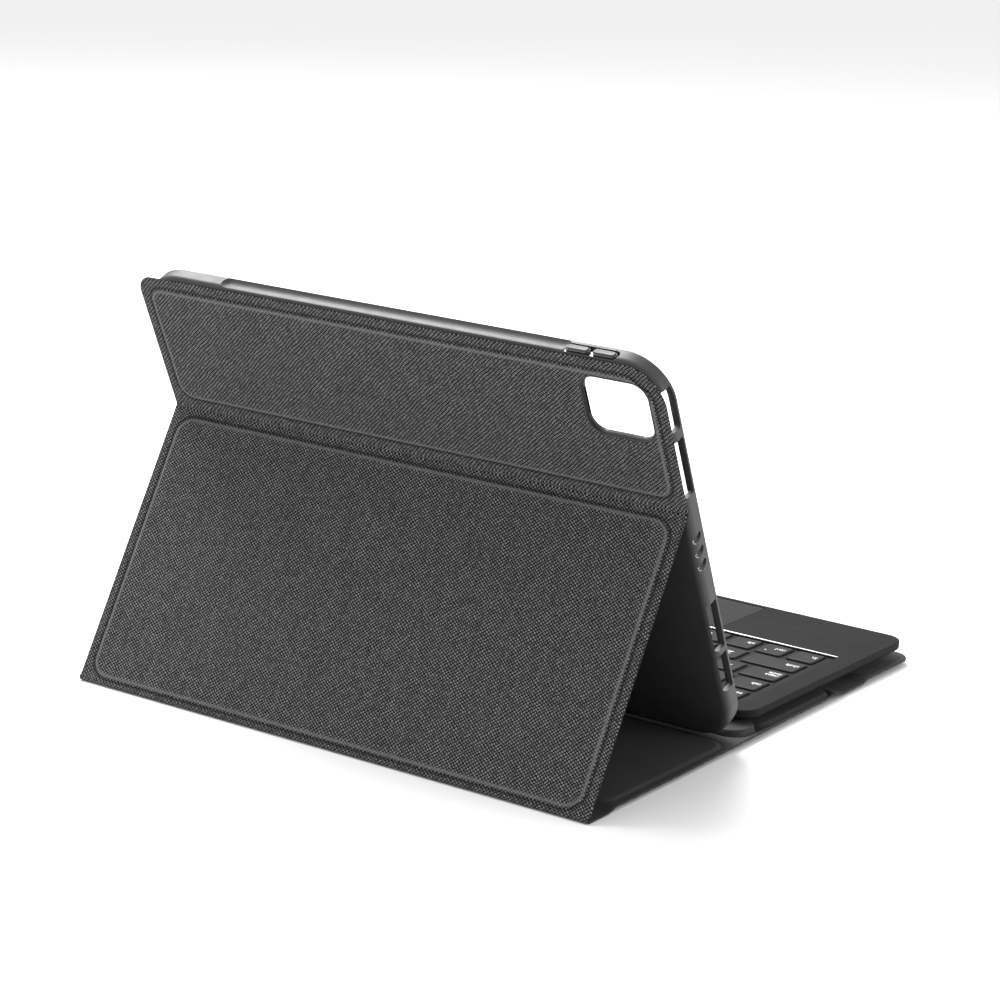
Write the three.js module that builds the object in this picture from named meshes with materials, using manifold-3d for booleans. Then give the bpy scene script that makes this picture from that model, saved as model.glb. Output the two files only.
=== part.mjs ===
// Tablet keyboard case: a folding fabric cover with a moulded tablet tray and a lift-off keyboard with a trackpad.
// Millimetres, +Z up, -Y towards the user, -X the user's left. Origin: centre of the footprint, on the table.
import * as THREE from "three";
import { mergeVertices } from "three/addons/utils/BufferGeometryUtils.js";
import Module from "manifold-3d";

const wasm = await Module();
wasm.setup();

// ---------- driving dimensions ----------
const COVER_W = 254; // width of the folding cover
const DEPTH = 270; // footprint, rear fold to front edge
const REAR_Y = DEPTH / 2;
const FRONT_Y = -DEPTH / 2 + 1;
const APEX = [75.6, 109.1]; // y, z of the middle fold's outer line
const TOP = [103.4, 168.3]; // y, z of the cover's top edge, outer face
const FABRIC = 0.5; // woven outer skin
const LINING = 0.45; // smooth inner skin
const SKIN_GAP = 0.1; // between stacked sheets
const BASE_BOARD = 1.6; // stiffener in the base
const PANEL_BOARD = 0.5; // stiffener in the lower back panel
const UPPER_BOARD = 0.9; // stiffener behind the tray
const FOLD_GAP = 0.3; // from each sheet's end to its fold line
const SPINE = 19.5; // soft zone next to the rear fold
const BASE_PAD = [26.5, 115.5]; // y range of the rear board in the base
const RIDGE = [-0.5, 15.3]; // y range of the ridge that stops the tray
const RIDGE_TOP = 4.3;
const RIDGE_HALF = 122.5;
const FRONT_PAD = [-64, -5]; // y range of the board under the keyboard
const FLAP_FOLD_Y = -78; // fold of the closing flap
const FLAP_PAD = [-130, -91];

const TABLET = [247.6, 178.5, 6.1]; // what the tray is made for
const TRAY_W = 252.5;
const TRAY_H = 184;
const TRAY_BACK = 1.6; // tray's back face, behind the cover's outer face
const TRAY_FRONT = 9.8;
const TRAY_FLOOR = 1.1;
const TRAY_R = 19;
const LIP = 1.9; // front lip over the glass
const SLOT_T = [2.3, 7.9]; // depth range of the slots in the tray's side walls
const VOLUME_T = 5.1; // depth of the volume buttons' centre line
const POCKET_FREE = 0.25; // room round the tablet

const KB_W = 244;
const KB_Y = [-133.1, 6.3];
const KB_BOTTOM = 5.2;
const KB_SEAM = 6.3; // where the two housings meet
const KB_TOP = 10.5;
const KB_R = 9;
const KB_WALL = 1.6;
const WELL_FLOOR = [8.9, 9.4];
const WELL_X = 112.5;
const WELL_Y = [-86.5, -6.6];
const PITCH_X = 15.6;
const KEY_GAP = 3;
const KEY_Z = [8.0, 10.2];
const WEB_Z = [8.0, 8.5];
const HOLE_FREE = 0.4;
const PAD_X = 52;
const PAD_Y = [-130.3, -90.3]; // trackpad

// ---------- helpers ----------
const V = (x, y, z) => new THREE.Vector3(x, y, z);
function solid(geometry) {
  const g = geometry.clone();
  g.deleteAttribute("normal");
  g.deleteAttribute("uv");
  const m = mergeVertices(g, 1e-4);
  return new wasm.Manifold(
    new wasm.Mesh({
      numProp: 3,
      vertProperties: new Float32Array(m.getAttribute("position").array),
      triVerts: new Uint32Array(m.index.array),
    }),
  );
}
function geometryOf(s) {
  const m = s.getMesh();
  const p = new Float32Array(m.numVert * 3);
  for (let i = 0; i < m.numVert; i++)
    p.set(m.vertProperties.subarray(i * m.numProp, i * m.numProp + 3), i * 3);
  const g = new THREE.BufferGeometry();
  g.setAttribute("position", new THREE.BufferAttribute(p, 3));
  g.setIndex(new THREE.BufferAttribute(new Uint32Array(m.triVerts), 1));
  g.computeVertexNormals();
  return g;
}
// Rounded rectangle; r is one radius or [x0y0, x1y0, x1y1, x0y1].
function rr(x0, x1, y0, y1, r = 0) {
  const [a, b, c, d] = Array.isArray(r) ? r : [r, r, r, r];
  const s = new THREE.Shape();
  s.moveTo(x0 + a, y0);
  s.lineTo(x1 - b, y0);
  if (b) s.absarc(x1 - b, y0 + b, b, -Math.PI / 2, 0, false);
  s.lineTo(x1, y1 - c);
  if (c) s.absarc(x1 - c, y1 - c, c, 0, Math.PI / 2, false);
  s.lineTo(x0 + d, y1);
  if (d) s.absarc(x0 + d, y1 - d, d, Math.PI / 2, Math.PI, false);
  s.lineTo(x0, y0 + a);
  if (a) s.absarc(x0 + a, y0 + a, a, Math.PI, 1.5 * Math.PI, false);
  return s;
}
function plate(shape, z0, z1, seg = 4, bevel = 0, bevelSegments = 2) {
  const g = new THREE.ExtrudeGeometry(shape, {
    depth: z1 - z0 - 2 * bevel,
    curveSegments: seg,
    bevelEnabled: bevel > 0,
    bevelThickness: bevel,
    bevelSize: bevel,
    bevelOffset: -bevel,
    bevelSegments,
  });
  g.translate(0, 0, z0 + bevel);
  return g;
}
const box = (x0, x1, y0, y1, z0, z1) =>
  new THREE.BoxGeometry(x1 - x0, y1 - y0, z1 - z0).translate(
    (x0 + x1) / 2,
    (y0 + y1) / 2,
    (z0 + z1) / 2,
  );
// A sheet of constant thickness whose lower face follows points [y, z], extruded across x.
function ribbon(points, thick, x0, x1) {
  const n = points.map((p, i) => {
    const dir = (a, b) => {
      const l = Math.hypot(b[0] - a[0], b[1] - a[1]);
      return [(b[0] - a[0]) / l, (b[1] - a[1]) / l];
    };
    const d0 = i > 0 ? dir(points[i - 1], p) : dir(p, points[i + 1]);
    const d1 = i < points.length - 1 ? dir(p, points[i + 1]) : d0;
    const n0 = [-d0[1], d0[0]],
      n1 = [-d1[1], d1[0]];
    const m = [n0[0] + n1[0], n0[1] + n1[1]];
    const k = (2 * thick) / (m[0] * m[0] + m[1] * m[1]);
    return [p[0] + m[0] * k, p[1] + m[1] * k];
  });
  const s = new THREE.Shape(
    [...points, ...n.reverse()].map((p) => new THREE.Vector2(p[0], p[1])),
  );
  const g = new THREE.ExtrudeGeometry(s, { depth: x1 - x0, bevelEnabled: false });
  g.applyMatrix4(
    new THREE.Matrix4().makeBasis(V(0, 1, 0), V(0, 0, 1), V(1, 0, 0)),
  );
  g.translate(x0, 0, 0);
  return g;
}
const cut = (a, ...bs) => bs.reduce((s, b) => s.subtract(b), a);

const paint = {
  textile: new THREE.MeshStandardMaterial({ color: 0x47474a, roughness: 0.9, metalness: 0 }),
  lining: new THREE.MeshStandardMaterial({ color: 0x1f1f20, roughness: 0.75, metalness: 0 }),
  board: new THREE.MeshStandardMaterial({ color: 0x8f8674, roughness: 0.9, metalness: 0 }),
  tray: new THREE.MeshStandardMaterial({ color: 0x4b4c4e, roughness: 0.6, metalness: 0 }),
  housing: new THREE.MeshStandardMaterial({ color: 0x2c2c2d, roughness: 0.55, metalness: 0 }),
  key: new THREE.MeshStandardMaterial({ color: 0x131314, roughness: 0.5, metalness: 0 }),
  trim: new THREE.MeshStandardMaterial({ color: 0xaaabad, roughness: 0.35, metalness: 0.8 }),
  magnet: new THREE.MeshStandardMaterial({ color: 0xb8bbc0, roughness: 0.3, metalness: 1 }),
  circuit: new THREE.MeshStandardMaterial({ color: 0x1c4a30, roughness: 0.6, metalness: 0 }),
  cell: new THREE.MeshStandardMaterial({ color: 0x9a9ca0, roughness: 0.4, metalness: 0.6 }),
  rubber: new THREE.MeshStandardMaterial({ color: 0x161616, roughness: 0.8, metalness: 0 }),
  window: new THREE.MeshStandardMaterial({ color: 0xd8dcdc, roughness: 0.2, metalness: 0 }),
};
const part = new THREE.Group();
const base = new THREE.Group();
const lower = new THREE.Group();
const upper = new THREE.Group();
part.add(base, lower, upper);
function add(group, name, shape, material) {
  const g = shape instanceof THREE.BufferGeometry ? shape : geometryOf(shape);
  const m = new THREE.Mesh(g, material);
  m.name = name;
  group.add(m);
  return m;
}
const HW = COVER_W / 2;
const SHEET0 = FABRIC + SKIN_GAP; // underside of a board, or of the lining where there is none
const THIN = SHEET0 + LINING; // thickness of the soft zones

// Each tilted panel has its own frame: x across, y up the panel, z from the outer face inwards.
function panelFrame(group, origin, along) {
  const l = Math.hypot(along[0], along[1]);
  const y = V(0, along[0] / l, along[1] / l);
  const x = V(1, 0, 0);
  const z = new THREE.Vector3().crossVectors(x, y);
  group.matrixAutoUpdate = false;
  group.matrix
    .makeBasis(x, y, z)
    .setPosition(0, origin[0], origin[1]);
  return l;
}
const LOWER_L = panelFrame(lower, [REAR_Y, 0], [APEX[0] - REAR_Y, APEX[1]]);
panelFrame(upper, TOP, [TOP[0] - APEX[0], TOP[1] - APEX[1]]);
const UPPER_L = Math.hypot(TOP[0] - APEX[0], TOP[1] - APEX[1]);
// The rear fold's axis is where the two inner faces meet.
const lowerTilt = Math.atan2(APEX[1], APEX[0] - REAR_Y);
const foldBack = THIN / Math.tan((Math.PI - lowerTilt) / 2);
const REAR_FOLD_Y = REAR_Y - foldBack;

// ---------- base of the cover ----------
add(
  base,
  "base_fabric",
  box(-HW, HW, FLAP_FOLD_Y + FOLD_GAP, REAR_FOLD_Y - FOLD_GAP, 0, FABRIC),
  paint.textile,
);
const over = SHEET0 + BASE_BOARD + SKIN_GAP;
const overRidge = RIDGE_TOP + SKIN_GAP;
add(
  base,
  "base_lining",
  ribbon(
    [
      [FLAP_FOLD_Y + FOLD_GAP, SHEET0],
      [FRONT_PAD[0] - 2.2, SHEET0],
      [FRONT_PAD[0] - 0.5, over],
      [FRONT_PAD[1] + 0.3, over],
      [RIDGE[0] - 1.0, overRidge],
      [RIDGE[1] + 0.3, overRidge],
      [RIDGE[1] + 1.6, SHEET0],
      [BASE_PAD[0] - 1.8, SHEET0],
      [BASE_PAD[0] - 0.5, over],
      [BASE_PAD[1] + 0.5, over],
      [BASE_PAD[1] + 2.2, SHEET0],
      [REAR_FOLD_Y - FOLD_GAP, SHEET0],
    ],
    LINING,
    -HW + 0.8,
    HW - 0.8,
  ),
  paint.lining,
);
add(base, "base_board_rear", plate(rr(-122.8, 122.8, ...BASE_PAD, 8), SHEET0, SHEET0 + BASE_BOARD), paint.board);
add(base, "base_board_front", plate(rr(-121, 121, ...FRONT_PAD, 7), SHEET0, SHEET0 + BASE_BOARD), paint.board);
{
  let core = solid(plate(rr(-RIDGE_HALF, RIDGE_HALF, ...RIDGE, 6.5), SHEET0, RIDGE_TOP, 6));
  for (const s of [-1, 1]) {
    const x0 = s < 0 ? -100 : 60;
    core = core.subtract(solid(box(x0, x0 + 40, 3, 12, 1.6, RIDGE_TOP + 1)));
    add(
      base,
      s < 0 ? "ridge_magnet_left" : "ridge_magnet_right",
      plate(rr(x0 + 0.3, x0 + 39.7, 3.3, 11.7, 0.6), 1.9, 4.1, 2),
      paint.magnet,
    );
  }
  add(base, "ridge_core", core, paint.board);
}

// ---------- closing flap at the front of the base ----------
add(
  base,
  "flap_fabric",
  plate(rr(-HW, HW, FRONT_Y, FLAP_FOLD_Y - FOLD_GAP, [9, 9, 0, 0]), 0, FABRIC, 5),
  paint.textile,
);
{
  let board = solid(plate(rr(-121, 121, ...FLAP_PAD, 6), SHEET0, SHEET0 + BASE_BOARD));
  board = board.subtract(solid(box(-30, 30, -124, -112, SHEET0 + 0.5, 4)));
  add(base, "flap_board", board, paint.board);
  add(base, "flap_magnet", plate(rr(-29.7, 29.7, -123.7, -112.3, 0.6), SHEET0 + 0.7, SHEET0 + BASE_BOARD - 0.1, 2), paint.magnet);
}
add(
  base,
  "flap_lining",
  ribbon(
    [
      [FRONT_Y + 1.6, SHEET0 + 0.6],
      [FLAP_PAD[0] - 0.5, over],
      [FLAP_PAD[1] + 0.5, over],
      [FLAP_PAD[1] + 2.2, SHEET0],
      [FLAP_FOLD_Y - FOLD_GAP, SHEET0],
    ],
    LINING,
    -HW + 9,
    HW - 9,
  ),
  paint.lining,
);

// ---------- lower back panel ----------
const LOW0 = foldBack + FOLD_GAP;
const LOW1 = LOWER_L - FOLD_GAP;
add(lower, "lower_back_fabric", box(-HW, HW, LOW0, LOW1, 0, FABRIC), paint.textile);
add(lower, "lower_back_board", plate(rr(-121.5, 121.5, 4.6, 119.7, 8), SHEET0, SHEET0 + PANEL_BOARD), paint.board);
add(
  lower,
  "lower_back_lining",
  ribbon(
    [
      [LOW0, SHEET0],
      [3.4, SHEET0],
      [4.3, SHEET0 + PANEL_BOARD + SKIN_GAP],
      [LOW1, SHEET0 + PANEL_BOARD + SKIN_GAP],
    ],
    0.3,
    -HW + 0.8,
    HW - 0.8,
  ),
  paint.lining,
);

// ---------- upper back panel and tray, y measured down from the top edge ----------
const camera = (grow) => rr(-119.3 - grow, -90.1 + grow, -34.2 - grow, -8.6 + grow, 6.6 + grow);
const through = (shape, z0, z1, seg = 5) => solid(plate(shape, z0, z1, seg));
add(
  upper,
  "upper_back_fabric",
  solid(plate(rr(-HW, HW, -UPPER_L + FOLD_GAP, -0.6, [0, 0, 8, 17]), 0, FABRIC, 6)).subtract(
    through(camera(0), -1, 2),
  ),
  paint.textile,
);
add(
  upper,
  "upper_back_board",
  solid(plate(rr(-121.5, 121.5, -60.2, -6, [6, 6, 6, 14]), SHEET0, SHEET0 + UPPER_BOARD, 5)).subtract(
    through(camera(0.4), -1, 4),
  ),
  paint.board,
);
{
  const hw = TRAY_W / 2;
  const px = TABLET[0] / 2 + POCKET_FREE;
  const wallY = (TRAY_H - TABLET[1]) / 2 - POCKET_FREE;
  const back = TRAY_BACK + TRAY_FLOOR;
  const front = back + TABLET[2] + POCKET_FREE;
  const midT = (back + front) / 2;
  // A slot through a side wall: round-ended in the wall's own plane (y along the wall, z through its thickness).
  const sideSlot = (side, s0, s1, t0, t1, slant = 0, r = 1) => {
    const g = plate(rr(s0, s1, t0, t1, r), 0, 8, 4);
    const shear = new THREE.Matrix4().makeShear(0, 0, slant, 0, 0, 0);
    g.applyMatrix4(shear);
    // (along, through, depth) -> (-y, z, x)
    g.applyMatrix4(new THREE.Matrix4().makeBasis(V(0, -1, 0), V(0, 0, 1), V(-1, 0, 0)));
    g.translate(side < 0 ? -hw + 6 : hw + 2, 0, 0);
    return solid(g);
  };
  let tray = solid(plate(rr(-hw, hw, -TRAY_H, 0, TRAY_R), TRAY_BACK, TRAY_FRONT, 8, 1.5, 2));
  tray = cut(
    tray,
    solid(plate(rr(-px, px, -TRAY_H + wallY, -wallY, TRAY_R - 2.4), back, front, 8)),
    solid(plate(rr(-px + LIP, px - LIP, -TRAY_H + wallY + LIP, -wallY - LIP, TRAY_R - 4.3), back + 1, TRAY_FRONT + 1, 8)),
    through(camera(0), TRAY_BACK - 1, back + 1),
    // user's-left wall: side button, speakers, slanted vents
    sideSlot(-1, 11.9, 30.3, SLOT_T[0], SLOT_T[1]),
    sideSlot(-1, 34.8, 60.8, SLOT_T[0], SLOT_T[1]),
    sideSlot(-1, 81.5, 84.6, 2.3, 6.8, -0.5, 1.4),
    sideSlot(-1, 88.1, 91.2, 2.3, 6.8, -0.5, 1.4),
    sideSlot(-1, 94.5, 97.6, 2.3, 6.8, -0.5, 1.4),
    sideSlot(-1, 113, 136.4, SLOT_T[0], SLOT_T[1]),
    sideSlot(-1, 138.8, 156.8, SLOT_T[0], SLOT_T[1]),
    // user's-right wall: charging port and speakers
    sideSlot(1, 34.8, 60.8, SLOT_T[0], SLOT_T[1]),
    sideSlot(1, 85, 99, SLOT_T[0], SLOT_T[1]),
    sideSlot(1, 123, 149, SLOT_T[0], SLOT_T[1]),
    // window for the two button covers in the top wall
    solid(box(-106.9, -82, -wallY - 1, 1, VOLUME_T - 2.4, VOLUME_T + 2.4)),
  );
  // Cradle for a stylus along the top wall: a shallow trough with run-out ends.
  const trough = new THREE.CylinderGeometry(4.7, 4.7, 162, 28).rotateZ(Math.PI / 2);
  trough.translate(0, 3.1, midT);
  const endA = new THREE.SphereGeometry(4.7, 28, 14).translate(-81, 3.1, midT);
  const endB = new THREE.SphereGeometry(4.7, 28, 14).translate(81, 3.1, midT);
  tray = cut(tray, solid(trough), solid(endA), solid(endB));
  add(upper, "tablet_tray", tray, paint.tray);
  for (const [name, x0, x1] of [
    ["volume_cover_up", -93.7, -83.2],
    ["volume_cover_down", -105.7, -95.2],
  ])
    add(
      upper,
      name,
      plate(rr(x0, x1, -wallY + 0.1, 0.35, 0.8), VOLUME_T - 1.8, VOLUME_T + 1.8, 3, 0.5, 2),
      paint.tray,
    );
}

// ---------- keyboard ----------
const keys = [];
{
  const rows = [
    { name: "number", y: [-19.4, -9.0], cells: [["key_esc", 1], ["", 12], ["key_backspace", 1]] },
    { name: "upper", y: [-35.8, -22.4], cells: [["key_tab", 1.1], ["", 12], ["key_backslash", 0.9]] },
    { name: "home", y: [-52.2, -38.8], cells: [["key_caps_lock", 1.3], ["", 11], ["key_enter", 1.7]] },
    { name: "lower", y: [-68.6, -55.2], cells: [["key_shift_left", 1.85], ["", 10], ["key_shift_right", 2.15]] },
    {
      name: "bottom",
      y: [-85, -71.6],
      cells: [
        ["key_fn", 1], ["key_ctrl", 1], ["key_alt", 1], ["key_command_left", 1.2], ["key_space", 5.6],
        ["key_command_right", 1.2], ["key_arrow_left", 1], ["arrows", 1], ["key_arrow_right", 1],
      ],
    },
  ];
  for (const row of rows) {
    let u = -7;
    for (const [name, w] of row.cells) {
      if (name === "") {
        for (let i = 0; i < w; i++)
          keys.push({ web: row.name, x: [(u + i) * PITCH_X + KEY_GAP / 2, (u + i + 1) * PITCH_X - KEY_GAP / 2], y: row.y });
      } else {
        const x = [u * PITCH_X + KEY_GAP / 2, (u + w) * PITCH_X - KEY_GAP / 2];
        const mid = (row.y[0] + row.y[1]) / 2;
        if (name === "arrows")
          keys.push(
            { name: "key_arrow_down", x, y: [row.y[0], mid - 0.6] },
            { name: "key_arrow_up", x, y: [mid + 0.6, row.y[1]] },
          );
        else keys.push({ name, x, y: row.y });
      }
      u += w;
    }
  }
}
{
  const hx = KB_W / 2;
  let deck = solid(plate(rr(-hx, hx, ...KB_Y, KB_R), KB_SEAM, KB_TOP, 6, 0.5, 1));
  deck = cut(
    deck,
    solid(plate(rr(-hx + KB_WALL, hx - KB_WALL, KB_Y[0] + KB_WALL, KB_Y[1] - KB_WALL, KB_R - KB_WALL), KB_SEAM - 1, WELL_FLOOR[0], 6)),
    solid(plate(rr(-WELL_X, WELL_X, ...WELL_Y, 2.5), WELL_FLOOR[1], KB_TOP + 1, 3)),
    solid(box(-PAD_X, PAD_X, ...PAD_Y, WELL_FLOOR[0] - 1, KB_TOP + 1)),
    solid(box(-WELL_X, WELL_X, WELL_Y[0] - 1.2, WELL_Y[0] + 0.1, KB_TOP - 0.6, KB_TOP + 1)),
    solid(box(hx - 8, hx + 1, -74.8, -65.2, KB_SEAM - 1, 9.8)),
    solid(box(hx - 4, hx + 1, -92, -83, 6.9, 9.3)),
    solid(box(106, 109, -92.5, -90.5, WELL_FLOOR[0] - 1, KB_TOP + 1)),
  );
  let holes = null;
  for (const k of keys) {
    const h = solid(box(k.x[0] - HOLE_FREE, k.x[1] + HOLE_FREE, k.y[0] - HOLE_FREE, k.y[1] + HOLE_FREE, WELL_FLOOR[0] - 1, WELL_FLOOR[1] + 1));
    holes = holes ? holes.add(h) : h;
  }
  add(base, "keyboard_deck", deck.subtract(holes), paint.housing);
  add(base, "keyboard_bottom_case", plate(rr(-hx + 0.5, hx - 0.5, KB_Y[0] + 0.5, KB_Y[1] - 0.5, KB_R - 0.5), KB_BOTTOM, KB_SEAM - 0.1, 6, 0.3, 1), paint.housing);
  add(base, "keyboard_trim_strip", plate(rr(-WELL_X + 0.2, WELL_X - 0.2, WELL_Y[0] - 1.1, WELL_Y[0] - 0.1, 0.3), KB_TOP - 0.5, KB_TOP + 0.1, 2), paint.trim);
  add(base, "key_dome_sheet", plate(rr(-110.5, 110.5, WELL_Y[0], WELL_Y[1], 1), 6.35, 6.7, 1), paint.rubber);
  add(base, "keyboard_circuit_board", plate(rr(-118, -56, -128, -92, 1), 6.4, 7.2, 1), paint.circuit);
  add(base, "keyboard_battery", plate(rr(58, 112, -128, -95, 2), 6.4, 8.7, 2), paint.cell);
  add(base, "trackpad_plate", plate(rr(-PAD_X + 0.3, PAD_X - 0.3, PAD_Y[0] + 0.3, PAD_Y[1] - 0.3, 1.5), 9.3, 10.4, 3), paint.housing);
  add(base, "trackpad_switch", new THREE.CylinderGeometry(3, 3, 2.2, 16).rotateX(Math.PI / 2).translate(0, -112, 7.5), paint.circuit);
  // charging socket: a flat tube, blind at its inner end
  const port = solid(box(hx - 7.4, hx - 0.1, -74.4, -65.6, 6.45, 9.65)).subtract(
    solid(box(hx - 6.4, hx + 1, -73.8, -66.2, 6.95, 9.15)),
  );
  add(base, "charging_socket", port, paint.magnet);
  add(base, "power_switch_knob", plate(rr(hx - 3.2, hx + 0.7, -91.2, -88.2, 0.3), 7.3, 8.9, 1), paint.key);
  add(base, "status_light_window", plate(rr(106.2, 108.8, -92.3, -90.7, 0.4), WELL_FLOOR[0] - 0.1, KB_TOP, 2), paint.window);
  add(base, "keyboard_foot_front", plate(rr(-100, 100, -129, -123, 2.5), 3.0, KB_BOTTOM - 0.05, 4, 0.4, 1), paint.rubber);
  add(base, "keyboard_foot_middle", plate(rr(-100, 100, -40, -34, 2.5), 3.0, KB_BOTTOM - 0.05, 4, 0.4, 1), paint.rubber);
  for (const [name, x0] of [["keyboard_magnet_left", -100], ["keyboard_magnet_right", 60]])
    add(base, name, plate(rr(x0, x0 + 40, -0.6, 4.2, 0.5), 6.4, 8.7, 1), paint.magnet);

  const cap = (k) => plate(rr(k.x[0], k.x[1], k.y[0], k.y[1], 1.2), ...KEY_Z, 1);
  const webs = {};
  for (const k of keys) {
    if (k.name) add(base, k.name, cap(k), paint.key);
    else (webs[k.web] ||= []).push(k);
  }
  for (const [name, list] of Object.entries(webs)) {
    const y = (list[0].y[0] + list[0].y[1]) / 2;
    let s = solid(box(list[0].x[0] + 1, list.at(-1).x[1] - 1, y - 1.2, y + 1.2, ...WEB_Z));
    for (const k of list) s = s.add(solid(cap(k)));
    add(base, "keys_" + name + "_row", s, paint.key);
  }
}

export default part;
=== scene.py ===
"""Looks for the tablet keyboard case: a fabric folding cover, a moulded tablet tray and a lift-off keyboard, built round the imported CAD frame."""

import math

import bmesh
import bpy
import numpy as np
from mathutils import Matrix, Vector


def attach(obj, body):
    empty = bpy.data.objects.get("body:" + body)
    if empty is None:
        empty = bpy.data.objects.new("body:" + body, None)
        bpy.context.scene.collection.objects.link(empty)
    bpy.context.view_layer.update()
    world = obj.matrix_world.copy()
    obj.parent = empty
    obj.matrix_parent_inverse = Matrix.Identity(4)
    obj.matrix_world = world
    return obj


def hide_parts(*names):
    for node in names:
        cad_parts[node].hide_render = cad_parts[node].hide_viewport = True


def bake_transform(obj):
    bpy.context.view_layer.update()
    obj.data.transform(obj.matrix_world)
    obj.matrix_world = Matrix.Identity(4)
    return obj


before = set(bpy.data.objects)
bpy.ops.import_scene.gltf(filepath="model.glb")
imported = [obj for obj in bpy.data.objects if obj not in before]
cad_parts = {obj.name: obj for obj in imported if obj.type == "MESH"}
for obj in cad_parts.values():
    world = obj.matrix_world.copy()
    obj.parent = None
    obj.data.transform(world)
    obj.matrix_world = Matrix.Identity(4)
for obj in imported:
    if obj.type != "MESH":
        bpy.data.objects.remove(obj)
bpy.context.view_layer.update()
SCENE = bpy.context.scene
MM = 0.001

# ------------------------------------------------------------------ dimensions, in mm, as the CAD has them
HW = 127.0
FRONT_Y, REAR_Y = -134.0, 135.0
APEX = np.array([75.6, 109.1])
TOP = np.array([103.4, 168.3])
FLAP_Y = -78.0
TRAY_HX, TRAY_H, TRAY_T0, TRAY_T1 = 126.25, 184.0, 1.6, 9.8
KEYS_Z = (8.0, 10.2)
LOW_LEN = float(np.linalg.norm(APEX - np.array([REAR_Y, 0.0])))
UP_LEN = float(np.linalg.norm(TOP - APEX))


def smooth(x):
    x = np.clip(x, 0.0, 1.0)
    return x * x * (3 - 2 * x)


def rng(seed):
    return np.random.default_rng(seed)


# ------------------------------------------------------------------ mesh helpers
def new_object(name, verts, faces, mats, face_mat=None, smooth_faces=True, scale=MM):
    me = bpy.data.meshes.new(name)
    me.from_pydata([tuple(v) for v in np.asarray(verts, float) * scale], [], [tuple(int(i) for i in f) for f in faces])
    for m in mats if isinstance(mats, (list, tuple)) else [mats]:
        me.materials.append(m)
    if face_mat is not None:
        me.polygons.foreach_set("material_index", np.asarray(face_mat, np.int32))
    me.polygons.foreach_set("use_smooth", [smooth_faces] * len(me.polygons))
    me.validate()
    me.update()
    ob = bpy.data.objects.new(name, me)
    SCENE.collection.objects.link(ob)
    return ob


def set_vector(ob, name, values):
    a = ob.data.attributes.get(name) or ob.data.attributes.new(name, "FLOAT_VECTOR", "POINT")
    a.data.foreach_set("vector", np.asarray(values, np.float32).reshape(-1))


def select_only(ob):
    for o in bpy.context.selected_objects:
        o.select_set(False)
    bpy.context.view_layer.objects.active = ob
    ob.select_set(True)


def apply_modifiers(ob):
    bpy.context.view_layer.update()
    deps = bpy.context.evaluated_depsgraph_get()
    me = bpy.data.meshes.new_from_object(ob.evaluated_get(deps), preserve_all_data_layers=True, depsgraph=deps)
    old = ob.data
    ob.modifiers.clear()
    ob.data = me
    me.name = ob.name
    bpy.data.meshes.remove(old)
    return ob


def shade_by_angle(ob, degrees=35):
    """Smooth faces with sharp edges where the faces meet at more than that angle."""
    bm = bmesh.new()
    bm.from_mesh(ob.data)
    limit = math.radians(degrees)
    for f in bm.faces:
        f.smooth = True
    for e in bm.edges:
        e.smooth = len(e.link_faces) == 2 and e.calc_face_angle(0) < limit
    bm.to_mesh(ob.data)
    bm.free()
    return ob


def weigh(ob):
    """Large flat faces keep their own normals; the small faces of rounded edges bend to meet them."""
    m = ob.modifiers.new("weighted", "WEIGHTED_NORMAL")
    m.mode = "FACE_AREA"
    m.weight = 50
    m.keep_sharp = True
    return ob


def clean(ob, dist=1e-6):
    bm = bmesh.new()
    bm.from_mesh(ob.data)
    bmesh.ops.remove_doubles(bm, verts=bm.verts, dist=dist)
    bmesh.ops.dissolve_degenerate(bm, edges=bm.edges, dist=dist)
    loose = [v for v in bm.verts if not v.link_faces]
    bmesh.ops.delete(bm, geom=loose, context="VERTS")
    bmesh.ops.recalc_face_normals(bm, faces=bm.faces)
    bm.to_mesh(ob.data)
    bm.free()
    return ob


def drop_crumbs(ob, dist=1e-6):
    """Removes the flat scraps that a cut leaves hanging on an edge which already has its two faces."""
    bm = bmesh.new()
    bm.from_mesh(ob.data)
    bmesh.ops.triangulate(bm, faces=[f for f in bm.faces if len(f.verts) > 4])
    bmesh.ops.remove_doubles(bm, verts=bm.verts, dist=dist)
    crumbs = set()
    for e in bm.edges:
        if len(e.link_faces) > 2:
            crumbs.update(sorted(e.link_faces, key=lambda f: f.calc_area())[:-2])
    bmesh.ops.delete(bm, geom=list(crumbs), context="FACES")
    bmesh.ops.delete(bm, geom=[v for v in bm.verts if not v.link_faces], context="VERTS")
    bmesh.ops.recalc_face_normals(bm, faces=bm.faces)
    bm.to_mesh(ob.data)
    bm.free()
    return ob


def cut(ob, cutters, solver="EXACT"):
    for c in cutters:
        m = ob.modifiers.new("cut", "BOOLEAN")
        m.operation = "DIFFERENCE"
        m.solver = solver
        m.object = c
    apply_modifiers(ob)
    for c in cutters:
        me = c.data
        bpy.data.objects.remove(c)
        bpy.data.meshes.remove(me)
    return ob


def bevel(ob, width, segments=2, degrees=40):
    m = ob.modifiers.new("edge", "BEVEL")
    m.width = width * MM
    m.segments = segments
    m.limit_method = "ANGLE"
    m.angle_limit = math.radians(degrees)
    m.use_clamp_overlap = True
    m.harden_normals = False
    m.miter_outer = "MITER_ARC"
    return apply_modifiers(ob)


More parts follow.
